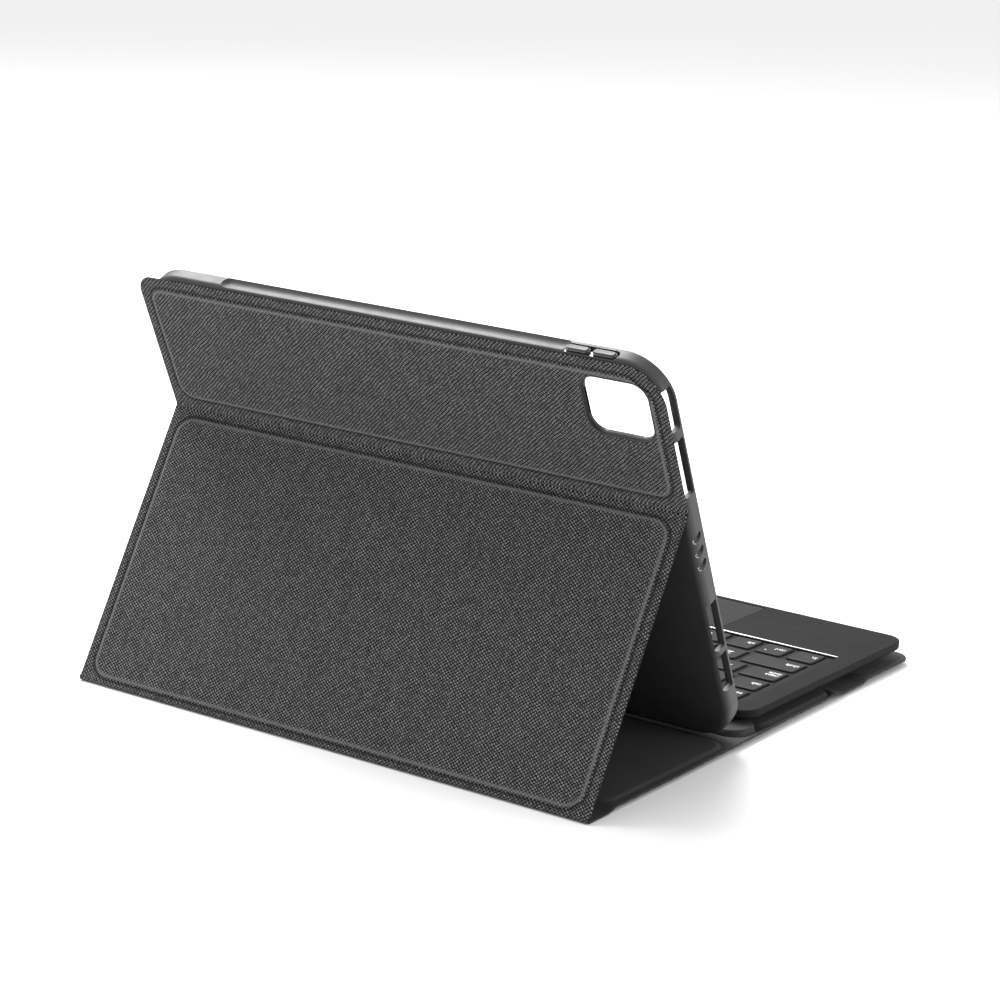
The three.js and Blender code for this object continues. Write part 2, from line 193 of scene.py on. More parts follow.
def rr_loop(x0, x1, y0, y1, r, seg=8, straight=1):
    """Points anticlockwise round a rounded rectangle. r is one radius or four: x0y0, x1y0, x1y1, x0y1."""
    rs = list(r) if isinstance(r, (list, tuple)) else [r] * 4
    rs = [max(0.02, q) for q in rs]
    centres = [(x0 + rs[0], y0 + rs[0]), (x1 - rs[1], y0 + rs[1]), (x1 - rs[2], y1 - rs[2]), (x0 + rs[3], y1 - rs[3])]
    arcs = []
    for k in range(4):
        a0 = math.pi + k * math.pi / 2
        arcs.append([(centres[k][0] + rs[k] * math.cos(a0 + t * math.pi / 2 / seg), centres[k][1] + rs[k] * math.sin(a0 + t * math.pi / 2 / seg)) for t in range(seg + 1)])
    pts = []
    for k in range(4):
        pts += arcs[k]
        p, q = arcs[k][-1], arcs[(k + 1) % 4][0]
        for i in range(1, straight):
            f = i / straight
            pts.append((p[0] + (q[0] - p[0]) * f, p[1] + (q[1] - p[1]) * f))
    return np.array(pts)


def swept(name, rect, r, rings, mat, seg=8, straight=1, closed=False, transform=None, ring_mat=None):
    """A body whose section follows rings of (inset, z) round a rounded rectangle. Closed rings make a frame; otherwise both ends are capped."""
    x0, x1, y0, y1 = rect
    rs = list(r) if isinstance(r, (list, tuple)) else [r] * 4
    verts, n = [], None
    for inset, z in rings:
        lp = rr_loop(x0 + inset, x1 - inset, y0 + inset, y1 - inset, [q - inset for q in rs], seg, straight)
        n = len(lp)
        verts += [(p[0], p[1], z) for p in lp]
    faces, which = [], []
    m = len(rings)
    for i in range(m if closed else m - 1):
        a, b = i * n, ((i + 1) % m) * n
        for j in range(n):
            k = (j + 1) % n
            faces.append((a + j, a + k, b + k, b + j))
            which.append(ring_mat[i] if ring_mat else 0)
    if not closed:
        faces.append(tuple(range(n - 1, -1, -1)))
        faces.append(tuple(range((m - 1) * n, m * n)))
        which += [0, 0]
    verts = np.array(verts, float)
    if transform is not None:
        verts = verts @ np.array(transform, float)[:3, :3].T + np.array(transform, float)[:3, 3]
    return new_object(name, verts, faces, mat, which)


def prism(name, loop, z0, z1, transform=None):
    loop = np.asarray(loop, float)
    n = len(loop)
    verts = np.vstack([np.c_[loop, np.full(n, z0)], np.c_[loop, np.full(n, z1)]])
    faces = [tuple(range(n - 1, -1, -1)), tuple(range(n, 2 * n))]
    faces += [(j, (j + 1) % n, n + (j + 1) % n, n + j) for j in range(n)]
    if transform is not None:
        t = np.array(transform, float)
        verts = verts @ t[:3, :3].T + t[:3, 3]
        if np.linalg.det(t[:3, :3]) < 0:
            faces = [tuple(reversed(f)) for f in faces]
    return new_object(name, verts, faces, [])


def panel_matrix(origin, along):
    """Local x across, y up the panel, z inwards from the outer face."""
    a = np.array(along) / np.linalg.norm(along)
    x, y = np.array([1.0, 0, 0]), np.array([0, a[0], a[1]])
    z = np.cross(x, y)
    m = np.eye(4)
    m[:3, 0], m[:3, 1], m[:3, 2], m[:3, 3] = x, y, z, [0, origin[0], origin[1]]
    return m


M_UP = panel_matrix(TOP, TOP - APEX)  # y runs down from 0 at the top edge
M_LOW = panel_matrix([REAR_Y, 0], APEX - np.array([REAR_Y, 0]))

# ------------------------------------------------------------------ materials


class Tree:
    """Small helper for building node materials."""

    def __init__(self, name):
        self.mat = bpy.data.materials.new(name)
        self.mat.use_nodes = True
        self.nt = self.mat.node_tree
        self.nt.nodes.clear()
        self.out = self.nt.nodes.new("ShaderNodeOutputMaterial")
        self.bsdf = self.nt.nodes.new("ShaderNodeBsdfPrincipled")
        self.nt.links.new(self.bsdf.outputs[0], self.out.inputs[0])

    def node(self, kind, **kw):
        n = self.nt.nodes.new(kind)
        for k, v in kw.items():
            setattr(n, k, v)
        return n

    def link(self, a, b):
        self.nt.links.new(a, b)

    def set(self, socket, value):
        if isinstance(value, bpy.types.NodeSocket):
            self.link(value, socket)
        else:
            socket.default_value = value

    def math(self, op, a, b=None, c=None, clamp=False):
        n = self.node("ShaderNodeMath", operation=op, use_clamp=clamp)
        for i, v in enumerate((a, b, c)):
            if v is not None:
                self.set(n.inputs[i], v)
        return n.outputs[0]

    def vmath(self, op, a, b=None, scale=None):
        n = self.node("ShaderNodeVectorMath", operation=op)
        self.set(n.inputs[0], a)
        if b is not None:
            self.set(n.inputs[1], b)
        if scale is not None:
            self.set(n.inputs[3], scale)
        return n.outputs[0] if op not in ("LENGTH", "DOT_PRODUCT", "DISTANCE") else n.outputs[1]

    def mix(self, f, a, b):
        n = self.node("ShaderNodeMix", data_type="RGBA")
        self.set(n.inputs[0], f)
        self.set(n.inputs[6], a if isinstance(a, bpy.types.NodeSocket) else (*a, 1.0)[:4])
        self.set(n.inputs[7], b if isinstance(b, bpy.types.NodeSocket) else (*b, 1.0)[:4])
        return n.outputs[2]

    def noise(self, vec, scale, detail=2.0, rough=0.5, dist=0.0):
        n = self.node("ShaderNodeTexNoise")
        self.set(n.inputs["Vector"], vec)
        n.inputs["Scale"].default_value = scale
        n.inputs["Detail"].default_value = detail
        n.inputs["Roughness"].default_value = rough
        n.inputs["Distortion"].default_value = dist
        return n.outputs[0]

    def ramp(self, fac, stops):
        n = self.node("ShaderNodeMapRange")
        n.interpolation_type = "SMOOTHSTEP"
        self.set(n.inputs[0], fac)
        n.inputs[1].default_value, n.inputs[2].default_value = stops[0]
        n.inputs[3].default_value, n.inputs[4].default_value = stops[1]
        return n.outputs[0]

    def position(self):
        return self.node("ShaderNodeTexCoord").outputs["Object"]

    def attribute(self, name):
        return self.node("ShaderNodeAttribute", attribute_name=name).outputs["Vector"]

    def bump(self, height, strength, distance, normal=None):
        n = self.node("ShaderNodeBump")
        self.set(n.inputs["Height"], height)
        n.inputs["Strength"].default_value = strength
        n.inputs["Distance"].default_value = distance
        if normal is not None:
            self.link(normal, n.inputs["Normal"])
        return n.outputs[0]

    def base(self, v):
        self.set(self.bsdf.inputs["Base Color"], v if isinstance(v, bpy.types.NodeSocket) else (*v, 1.0))

    def rough(self, v):
        self.set(self.bsdf.inputs["Roughness"], v)

    def normal(self, v):
        self.link(v, self.bsdf.inputs["Normal"])


LIGHT_LOW, LIGHT_HIGH = (0.048, 0.048, 0.049), (0.262, 0.262, 0.266)


def textile(name="woven_textile"):
    """A plain weave of light warp over dark weft. The attribute cloth holds millimetres across and along the cut cloth,
    and a mask for the painted shade along the pressed lines and the painted highlight on their shoulders.
    """
    t = Tree(name)
    uv = t.attribute("cloth")
    sep = t.node("ShaderNodeSeparateXYZ")
    t.link(uv, sep.inputs[0])
    x, y, seam_light_mask = sep.outputs[0], sep.outputs[1], sep.outputs[2]
    flat = t.node("ShaderNodeCombineXYZ")
    t.link(x, flat.inputs[0])
    t.link(y, flat.inputs[1])
    flat = flat.outputs[0]
    wob = t.math("SUBTRACT", t.noise(flat, 0.12, 3.0, 0.6), 0.5)
    wob2 = t.math("SUBTRACT", t.noise(flat, 0.17, 3.0, 0.6), 0.5)
    a = t.math("ADD", t.math("ADD", t.math("MULTIPLY", x, 1.093), t.math("MULTIPLY", y, -0.121)), t.math("MULTIPLY", wob, 2.2))
    b = t.math("ADD", t.math("MULTIPLY", y, 1.315), t.math("MULTIPLY", wob2, 2.2))
    sa = t.math("SINE", t.math("MULTIPLY", a, math.pi))
    sb = t.math("SINE", t.math("MULTIPLY", b, math.pi))
    ca, cb = t.math("POWER", t.math("ABSOLUTE", sa), 0.6), t.math("POWER", t.math("ABSOLUTE", sb), 0.6)
    over_a = t.math("MULTIPLY_ADD", t.math("MULTIPLY", sb, t.math("SIGN", sa)), 0.5, 0.5)
    over_b = t.math("MULTIPLY_ADD", t.math("MULTIPLY", sa, t.math("SIGN", sb)), -0.5, 0.5)
    ha, hb = t.math("MULTIPLY", ca, over_a), t.math("MULTIPLY", cb, over_b)
    height = t.math("MAXIMUM", ha, t.math("MULTIPLY", hb, 0.8))
    light_on_top = t.ramp(t.math("SUBTRACT", ha, hb), ((-0.20, 0.30), (0.0, 1.0)))
    cell = t.node("ShaderNodeCombineXYZ")
    t.link(t.math("FLOOR", a), cell.inputs[0])
    t.link(t.math("FLOOR", b), cell.inputs[1])
    wn = t.node("ShaderNodeTexWhiteNoise", noise_dimensions="3D")
    t.link(cell.outputs[0], wn.inputs[0])
    tone = wn.outputs[0]
    cloud = t.noise(flat, 0.055, 4.0, 0.6)
    # yarns of uneven thickness: long slow streaks along warp and weft
    warp_streak = t.noise(t.vmath("MULTIPLY", flat, (0.55, 0.035, 1.0)), 1.0, 2.0, 0.6)
    weft_streak = t.noise(t.vmath("MULTIPLY", flat, (0.035, 0.55, 1.0)), 1.0, 2.0, 0.6)
    amount = t.math("ADD", t.math("MULTIPLY", warp_streak, 0.50), t.math("MULTIPLY", tone, 0.50))
    light = t.mix(t.math("MULTIPLY", amount, 0.9, clamp=True), LIGHT_LOW, LIGHT_HIGH)
    dark = t.mix(t.math("MULTIPLY", t.math("ADD", weft_streak, tone), 0.5), (0.0022, 0.0022, 0.0024), (0.0070, 0.0070, 0.0072))
    yarn = t.mix(light_on_top, dark, light)
    yarn = t.mix(t.math("MULTIPLY", cloud, 0.12), yarn, (0.010, 0.010, 0.0103))
    # painted shade: the low parts of the weave, the yarns' flanks and the gaps between them, are darkened to near black
    depth = t.ramp(height, ((0.12, 0.56), (0.0, 1.0)))
    c = t.mix(depth, (0.0022, 0.0022, 0.0023), yarn)
    # the pressed line round each board: painted shade along its floor and a painted highlight on its shoulder
    groove = t.math("MULTIPLY", seam_light_mask, 1.0, clamp=True)
    shoulder = t.math("MULTIPLY", seam_light_mask, -1.0, clamp=True)
    c = t.mix(t.math("MULTIPLY", groove, 0.72), c, (0.0045, 0.0045, 0.0046))
    c = t.mix(t.math("MULTIPLY", shoulder, 0.85), c, (0.155, 0.155, 0.157))
    t.base(c)
    fuzz = t.noise(flat, 9.0, 3.0, 0.65)
    t.rough(t.ramp(fuzz, ((0.3, 0.7), (0.80, 0.95))))
    t.bsdf.inputs["Specular IOR Level"].default_value = 0.14
    t.bsdf.inputs["Sheen Weight"].default_value = 0.02
    t.bsdf.inputs["Sheen Roughness"].default_value = 0.5
    h = t.math("ADD", height, t.math("MULTIPLY", fuzz, 0.15))
    t.normal(t.bump(h, 0.75, 0.00030))
    return t.mat


def lining(name="smooth_lining"):
    """Soft black synthetic leather with a fine pebble."""
    t = Tree(name)
    uv = t.attribute("cloth")
    v = t.node("ShaderNodeTexVoronoi", feature="SMOOTH_F1")
    t.link(uv, v.inputs["Vector"])
    v.inputs["Scale"].default_value = 2.6
    v.inputs["Smoothness"].default_value = 0.6
    fine = t.noise(uv, 5.0, 3.0, 0.6)
    broad = t.noise(uv, 0.028, 3.0, 0.55)
    c = t.mix(t.ramp(broad, ((0.3, 0.7), (0.0, 1.0))), (0.0118, 0.0118, 0.0122), (0.0172, 0.0172, 0.0176))
    c = t.mix(t.math("MULTIPLY", fine, 0.35), c, (0.022, 0.022, 0.0225))
    t.base(c)
    t.rough(t.ramp(t.math("ADD", t.math("MULTIPLY", fine, 0.6), t.math("MULTIPLY", broad, 0.4)), ((0.3, 0.7), (0.50, 0.64))))
    t.bsdf.inputs["Specular IOR Level"].default_value = 0.24
    t.bsdf.inputs["Sheen Weight"].default_value = 0.06
    h = t.math("ADD", t.math("MULTIPLY", v.outputs["Distance"], 0.7), t.math("MULTIPLY", fine, 0.5))
    t.normal(t.bump(h, 0.30, 0.00012))
    return t.mat


def moulded(name, low, high, rough, grain=2600.0, strength=0.22, spec=0.5, wear=0.0, coat=0.0):
    """A moulded plastic: a fine spark texture, slow tone changes, and slightly rubbed high edges."""
    t = Tree(name)
    p = t.position()
    fine = t.noise(p, grain, 2.0, 0.6)
    mid = t.noise(p, 160.0, 4.0, 0.6)
    broad = t.noise(p, 14.0, 3.0, 0.5)
    c = t.mix(t.ramp(t.math("ADD", t.math("MULTIPLY", broad, 0.6), t.math("MULTIPLY", mid, 0.4)), ((0.35, 0.65), (0.0, 1.0))), low, high)
    if wear:
        g = t.node("ShaderNodeNewGeometry")
        edge = t.ramp(g.outputs["Pointiness"], ((0.515, 0.60), (0.0, 1.0)))
        rub = t.math("MULTIPLY", t.math("MULTIPLY", edge, t.ramp(mid, ((0.35, 0.7), (0.3, 1.0)))), wear)
        c = t.mix(rub, c, tuple(min(1.0, q * 2.2 + 0.01) for q in high))
    t.base(c)
    t.rough(t.ramp(t.math("ADD", t.math("MULTIPLY", fine, 0.5), t.math("MULTIPLY", mid, 0.5)), ((0.3, 0.7), rough)))
    t.bsdf.inputs["Specular IOR Level"].default_value = spec
    if coat:
        t.bsdf.inputs["Coat Weight"].default_value = coat
        t.bsdf.inputs["Coat Roughness"].default_value = 0.3
    t.normal(t.bump(t.math("ADD", fine, t.math("MULTIPLY", mid, 0.25)), strength, 0.00006))
    return t.mat


def metal(name, low, high, rough, along=(1, 60, 60)):
    t = Tree(name)
    p = t.vmath("MULTIPLY", t.position(), tuple(float(q) for q in along))
    brush = t.noise(p, 60.0, 4.0, 0.65)
    c = t.mix(brush, low, high)
    t.base(c)
    t.rough(t.ramp(brush, ((0.3, 0.7), rough)))
    t.bsdf.inputs["Metallic"].default_value = 1.0
    t.normal(t.bump(brush, 0.08, 0.00004))
    return t.mat


def board_material():
    t = Tree("fibre_board")
    p = t.position()
    fib = t.noise(t.vmath("MULTIPLY", p, (1.0, 3.0, 3.0)), 900.0, 4.0, 0.7)
    broad = t.noise(p, 40.0, 3.0)
    c = t.mix(fib, (0.20, 0.175, 0.13), (0.34, 0.31, 0.245))
    c = t.mix(t.math("MULTIPLY", broad, 0.3), c, (0.15, 0.13, 0.10))
    t.base(c)
    t.rough(t.ramp(fib, ((0.3, 0.7), (0.8, 0.95))))
    t.normal(t.bump(fib, 0.4, 0.0001))
    return t.mat


def circuit_material():
    t = Tree("circuit_board_mask")
    p = t.position()
    br = t.node("ShaderNodeTexBrick")
    t.link(p, br.inputs["Vector"])
    br.inputs["Scale"].default_value = 260.0
    br.inputs["Mortar Size"].default_value = 0.03
    br.inputs["Color1"].default_value = (0.010, 0.060, 0.028, 1)
    br.inputs["Color2"].default_value = (0.014, 0.078, 0.036, 1)
    br.inputs["Mortar"].default_value = (0.035, 0.14, 0.06, 1)
    speck = t.noise(p, 1500.0, 2.0)
    t.base(t.mix(t.math("MULTIPLY", speck, 0.3), br.outputs["Color"], (0.02, 0.10, 0.05)))
    t.rough(t.ramp(speck, ((0.3, 0.7), (0.35, 0.55))))
    t.normal(t.bump(br.outputs["Fac"], 0.3, 0.00004))
    return t.mat


def foil_material():
    t = Tree("pouch_foil")
    p = t.position()
    cr = t.noise(p, 120.0, 5.0, 0.6, 0.8)
    t.base(t.mix(cr, (0.34, 0.35, 0.37), (0.52, 0.53, 0.55)))
    t.rough(t.ramp(cr, ((0.3, 0.7), (0.28, 0.5))))
    t.bsdf.inputs["Metallic"].default_value = 0.85
    t.normal(t.bump(cr, 0.5, 0.0002))
    return t.mat


def legend_material():
    t = Tree("legend_ink")
    p = t.position()
    n = t.noise(p, 2200.0, 2.0)
    t.base(t.mix(n, (0.66, 0.66, 0.67), (0.80, 0.80, 0.81)))
    t.rough(t.ramp(n, ((0.3, 0.7), (0.5, 0.7))))
    return t.mat


def window_material():
    t = Tree("diffuser")
    p = t.position()
    n = t.noise(p, 900.0, 3.0)
    t.base(t.mix(n, (0.55, 0.58, 0.58), (0.72, 0.75, 0.75)))
    t.rough(t.ramp(n, ((0.3, 0.7), (0.2, 0.35))))
    t.normal(t.bump(n, 0.1, 0.00003))
    return t.mat


TEXTILE = textile()
LINING = lining()
TRAY = moulded("tray_elastomer", (0.0235, 0.0237, 0.0245), (0.030, 0.0303, 0.0313), (0.44, 0.54), 2200.0, 0.16, 0.5)
DECK = moulded("deck_plastic", (0.0070, 0.0070, 0.0074), (0.0100, 0.0100, 0.0104), (0.58, 0.70), 2600.0, 0.26, 0.10, wear=0.5)
SIDE = moulded("housing_plastic", (0.020, 0.020, 0.021), (0.026, 0.026, 0.027), (0.46, 0.6), 2200.0, 0.25, 0.45, wear=0.4)
# painted shade: the recess between the keys gets a darker plastic than the deck
KEY_WELL_SHADE = moulded("key_well_painted_shade", (0.0035, 0.0035, 0.0037), (0.0050, 0.0050, 0.0052), (0.6, 0.75), 2600.0, 0.25, 0.2)
KEY = moulded("keycap_plastic", (0.0050, 0.0050, 0.0053), (0.0072, 0.0072, 0.0076), (0.44, 0.56), 3000.0, 0.22, 0.22, wear=0.35)
PAD = moulded("trackpad_surface", (0.0105, 0.0105, 0.0110), (0.0130, 0.0130, 0.0136), (0.46, 0.54), 4200.0, 0.12, 0.14)
# black rubber for the dome sheet and the feet; on the camera window rim's inner wall it is painted shade
RUBBER_AND_RIM_SHADE = moulded("black_rubber_and_rim_shade", (0.008, 0.008, 0.008), (0.014, 0.014, 0.014), (0.72, 0.86), 1500.0, 0.35, 0.3)
LEGEND = legend_material()
TRIM = metal("bright_trim", (0.50, 0.50, 0.51), (0.68, 0.68, 0.69), (0.22, 0.36))
NICKEL = metal("nickel_plate", (0.52, 0.52, 0.53), (0.66, 0.66, 0.67), (0.2, 0.35), (30, 1, 30))
STEEL = metal("socket_steel", (0.42, 0.42, 0.43), (0.58, 0.58, 0.59), (0.25, 0.4), (1, 40, 40))
BOARD = board_material()
CIRCUIT = circuit_material()
FOIL = foil_material()
WINDOW = window_material()

for node, mat in {
    "base_board_rear": BOARD, "base_board_front": BOARD, "ridge_core": BOARD, "flap_board": BOARD,
    "lower_back_board": BOARD, "upper_back_board": BOARD, "ridge_magnet_left": NICKEL, "ridge_magnet_right": NICKEL,
    "flap_magnet": NICKEL, "keyboard_magnet_left": NICKEL, "keyboard_magnet_right": NICKEL, "charging_socket": STEEL,
    "key_dome_sheet": RUBBER_AND_RIM_SHADE, "keyboard_circuit_board": CIRCUIT, "trackpad_switch": CIRCUIT, "keyboard_battery": FOIL,
    "status_light_window": WINDOW,
}.items():
    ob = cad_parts[node]
    ob.data.materials.clear()
    ob.data.materials.append(mat)

# ------------------------------------------------------------------ the folding cover: one path from the front edge to the top edge


def cover_path(step=0.2):
    """Samples (s, y, z, ny, nz) of the outer face with its inward normal, folds rounded."""
    corners = [np.array([FRONT_Y, 0.0]), np.array([REAR_Y, 0.0]), APEX, TOP]
    radii = {1: 1.35, 2: 1.0}
    pts = []
    d = [corners[i + 1] - corners[i] for i in range(3)]
    ln = [np.linalg.norm(v) for v in d]
    d = [v / l for v, l in zip(d, ln)]
    s, marks = 0.0, {}
    start = corners[0]
    for i in range(3):
        last = i == 2
        if not last:
            turn = math.atan2(d[i][0] * d[i + 1][1] - d[i][1] * d[i + 1][0], float(d[i] @ d[i + 1]))
            r = radii[i + 1]
            tan = r * math.tan(abs(turn) / 2)
        end = corners[i + 1] - (0 if last else tan) * d[i]
        length = float(np.linalg.norm(end - start))
        n = max(2, int(length / step))
        normal = np.array([-d[i][1], d[i][0]])
        marks[f"line{i}"] = (s, start.copy(), d[i].copy(), length)
        for k in range(n):
            p = start + d[i] * length * k / n
            pts.append((s + length * k / n, *p, *normal))
        s += length
        if last:
            pts.append((s, *end, *normal))
            break
        side = 1 if turn > 0 else -1
        centre = end + side * r * normal
        n = 14
        arc = r * abs(turn)
        for k in range(n):
            ang = turn * k / n
            ca, sa = math.cos(ang), math.sin(ang)
            rel = end - centre
            p = centre + np.array([ca * rel[0] - sa * rel[1], sa * rel[0] + ca * rel[1]])
            nn = np.array([ca * normal[0] - sa * normal[1], sa * normal[0] + ca * normal[1]])
            pts.append((s + arc * k / n, *p, *nn))
        marks[f"fold{i}"] = (s, s + arc)
        s += arc
        start = corners[i + 1] + tan * d[i + 1]
    return np.array(pts), marks, s


PATH, MARK, S_END = cover_path()


def at(s):
    return np.stack([np.interp(s, PATH[:, 0], PATH[:, i]) for i in range(1, 5)], -1)


def s_base(y):
    return y - FRONT_Y


def s_low(q):
    """q mm up the lower back panel from the rear fold's sharp corner."""
    s0, start, d, _ = MARK["line1"]
    return s0 + q - float(np.linalg.norm(start - np.array([REAR_Y, 0.0])))


def s_up(d_top):
    """d mm down from the top edge."""
    return S_END - d_top


S_FOLD = sum(MARK["fold0"]) / 2
S_APEX = sum(MARK["fold1"]) / 2
S_FLAP = s_base(FLAP_Y)


def sd_rr(x, s, x0, x1, s0, s1, r):
    """Signed distance to a rounded rectangle, negative inside. r: one radius or four (x0s0, x1s0, x1s1, x0s1)."""
    rs = r if isinstance(r, (list, tuple)) else [r] * 4
    cx, cs = (x0 + x1) / 2, (s0 + s1) / 2
    dx, ds = x - cx, s - cs
    rad = np.where(dx < 0, np.where(ds < 0, rs[0], rs[3]), np.where(ds < 0, rs[1], rs[2]))
    qx, qs = np.abs(dx) - (x1 - x0) / 2 + rad, np.abs(ds) - (s1 - s0) / 2 + rad
    return np.minimum(np.maximum(qx, qs), 0) + np.hypot(np.maximum(qx, 0), np.maximum(qs, 0)) - rad


# plateaus of the outer face: (x0, x1, s0, s1, radii)
OUT_LOW = (-122.4, 122.2, s_low(3.9), s_low(120.2), 8.5)
OUT_UP = (-121.9, 121.9, s_up(60.6), s_up(5.6), [7, 7, 7, 13])
OUT_BASE = (-124.2, 124.2, s_base(25.2), s_base(117.2), 9)
OUT_FRONT = (-123.9, 123.9, s_base(-65.2), s_base(17.0), 8)
OUT_FLAP = (-122.3, 122.3, s_base(-131.2), s_base(-89.8), 7.5)
IN_BASE = OUT_BASE
IN_RIDGE = (-123.8, 123.8, s_base(-1.8), s_base(16.6), 7.8)
IN_FRONT = (-122.3, 122.3, s_base(-65.3), s_base(-3.7), 8)
IN_FLAP = OUT_FLAP
IN_LOW = (-122.6, 122.6, s_low(3.5), s_low(120.4), 8)


def dip(s):
    """1 in the soft strip between the front board and the closing flap's board."""
    y = s + FRONT_Y
    return smooth((y + 92.5) / 8.0) * smooth((-62.0 - y) / 8.0)


def sag(s):
    """1 where the cover is soft and lies on the table, 0 where a board holds its margin up."""
    y = s + FRONT_Y
    return np.maximum(smooth((y - 112.5) / 9.0), 0.55 * dip(s))


def step(sd, w0=-1.3, w1=0.5):
    return smooth((sd - w0) / (w1 - w0))


def seam_mark(sd):
    """The heat-pressed outline of a board: a groove with a slight bead inside it."""
    return 0.34 * np.exp(-(((sd - 0.45) / 0.55) ** 2)) - 0.12 * np.exp(-(((sd + 1.5) / 0.8) ** 2))


def t_out(x, s):
    """Depth of the outer face behind the cover's reference face."""
    base = s < S_FOLD
    sd_b = np.minimum(np.minimum(sd_rr(x, s, *OUT_BASE), sd_rr(x, s, *OUT_FRONT)), sd_rr(x, s, *OUT_FLAP))
    rise = np.interp(s + FRONT_Y, [-134, -60, 10, 50, 108, 121], [2.1, 2.05, 1.85, 1.45, 1.25, 1.25])
    tb = step(sd_b, -1.2, 1.8) * rise * (1 - sag(s)) + 0.5 * seam_mark(sd_b) * (1 - sag(s))
    sd_p = np.minimum(sd_rr(x, s, *OUT_LOW), sd_rr(x, s, *OUT_UP))
    near = smooth((s - MARK["fold0"][1] + 0.5) / 2.5)
    tp = (step(sd_p) * 0.52 + seam_mark(sd_p)) * near
    return np.where(base, tb, tp)


def pressed(x, s):
    """Above 0 in the pressed lines of the outer face, where the textile paints shade, below 0 on the shoulder beside
    them, where it paints a highlight.
    """
    sd = np.minimum(sd_rr(x, s, *OUT_LOW), sd_rr(x, s, *OUT_UP))
    base = np.minimum(np.minimum(sd_rr(x, s, *OUT_BASE), sd_rr(x, s, *OUT_FRONT)), sd_rr(x, s, *OUT_FLAP))
    sd = np.where(s < S_FOLD, base, sd)
    g = np.exp(-(((sd - 0.55) / 0.62) ** 2)) - 0.85 * np.exp(-(((sd + 1.05) / 0.62) ** 2))
    return g * np.where(s < S_FOLD, 0.6, 1.0)


def t_in(x, s):
    """Depth of the lining's exposed face."""
    to = t_out(x, s)
    thin = to + 0.95

    def lift(sd, top, w0, w1):
        return thin + (top - thin) * (1 - smooth((sd - w0) / (w1 - w0)))

    t = np.maximum(thin, lift(sd_rr(x, s, *IN_BASE), 3.3, -2.2, 1.6))
    t = np.maximum(t, lift(sd_rr(x, s, *IN_RIDGE), 4.95, -1.0, 0.5))
    t = np.maximum(t, lift(sd_rr(x, s, *IN_FRONT), 2.9, -1.2, 1.4))
    t = np.maximum(t, lift(sd_rr(x, s, *IN_FLAP), 2.9, -1.2, 1.4))
    low = lift(sd_rr(x, s, *IN_LOW), 1.65, -1.0, 0.7)
    t = np.where(s > S_FOLD, np.maximum(thin, low), t)
    # folded flat, the lower panel lies between the upper panel's plane and the tray
    t = np.where(s > S_FOLD + 3, np.minimum(t, 1.54), t)
    # a trace of slackness in the soft zones
    slack = sag(s) * (s < S_FOLD - 3)
    return t + slack * 0.10 * np.sin(x * 0.11 + 0.6 * np.sin(s * 0.21)) * np.sin(s * 0.33 + x * 0.02)


def half_width(s):
    """Half the cover's width at s, with its rounded corners. The top corner on the -X side follows the tray's corner."""
    def arc(d, r):
        d = np.clip(d, 0, r)
        return r - np.sqrt(np.maximum(r * r - (r - d) ** 2, 0))
    front = arc(s, 9.0)
    top = S_END - 0.6 - s
    left, right = arc(top, 17.0), arc(top, 8.0)  # -X, +X
    h = HW - np.interp(s + FRONT_Y, [-134, -60, 10, 60], [1.5, 1.3, 0.4, 0.0])
    return h - np.maximum(front, left), h - np.maximum(front, right)


def spread(a, b, coarse, fine_at, fine=0.5, reach=4.0):
    """Grid positions from a to b, fine near some places and coarse elsewhere."""
    out = [a]
    x = a
    while x < b - 1e-6:
        near = min(abs(x - f) for f in fine_at) if len(fine_at) else 1e9
        nxt = [f for f in fine_at if f > x + 1e-9]
        h = fine + (coarse - fine) * float(smooth(np.array((near - reach * 0.5) / (reach * 2.5))))
        if nxt:
            to_next = min(nxt) - reach * 0.5 - x
            if to_next > 0:
                h = min(h, max(fine, to_next * 0.6))
        x = min(b, x + h)
        if b - x < fine * 0.5:
            x = b
        out.append(x)
    return np.array(out)


X_EDGE = 110.0


def x_columns(fine=0.5, coarse=9.0):
    inner = spread(0.0, 127.0, coarse, [115.5, 119.0, 122.0, 124.0, 127.0], fine, 5.0)
    return np.concatenate([-inner[::-1][:-1], inner])


def sheet_grid(s_list, xs, depth, edge_in=0.0):
    """Positions of a face of the cover on a grid: rows along s, columns across x."""
    hl, hr = half_width(s_list)
    X = np.empty((len(s_list), len(xs)))
    for i in range(len(s_list)):
        for side, h in ((-1, hl[i] - edge_in), (1, hr[i] - edge_in)):
            m = xs * side > 0
            ax = np.abs(xs[m])
            a = min(X_EDGE - 12, h - 1.0)
            X[i, m] = side * np.where(ax < a, ax, a + (ax - a) * (h - a) / (HW - a))
        X[i, xs == 0] = 0.0
    S = np.repeat(s_list[:, None], len(xs), 1)
    T = depth(X, S)
    P = at(S)
    V = np.stack([X, P[..., 0] + P[..., 2] * T, P[..., 1] + P[..., 3] * T], -1)
    return V, X, S


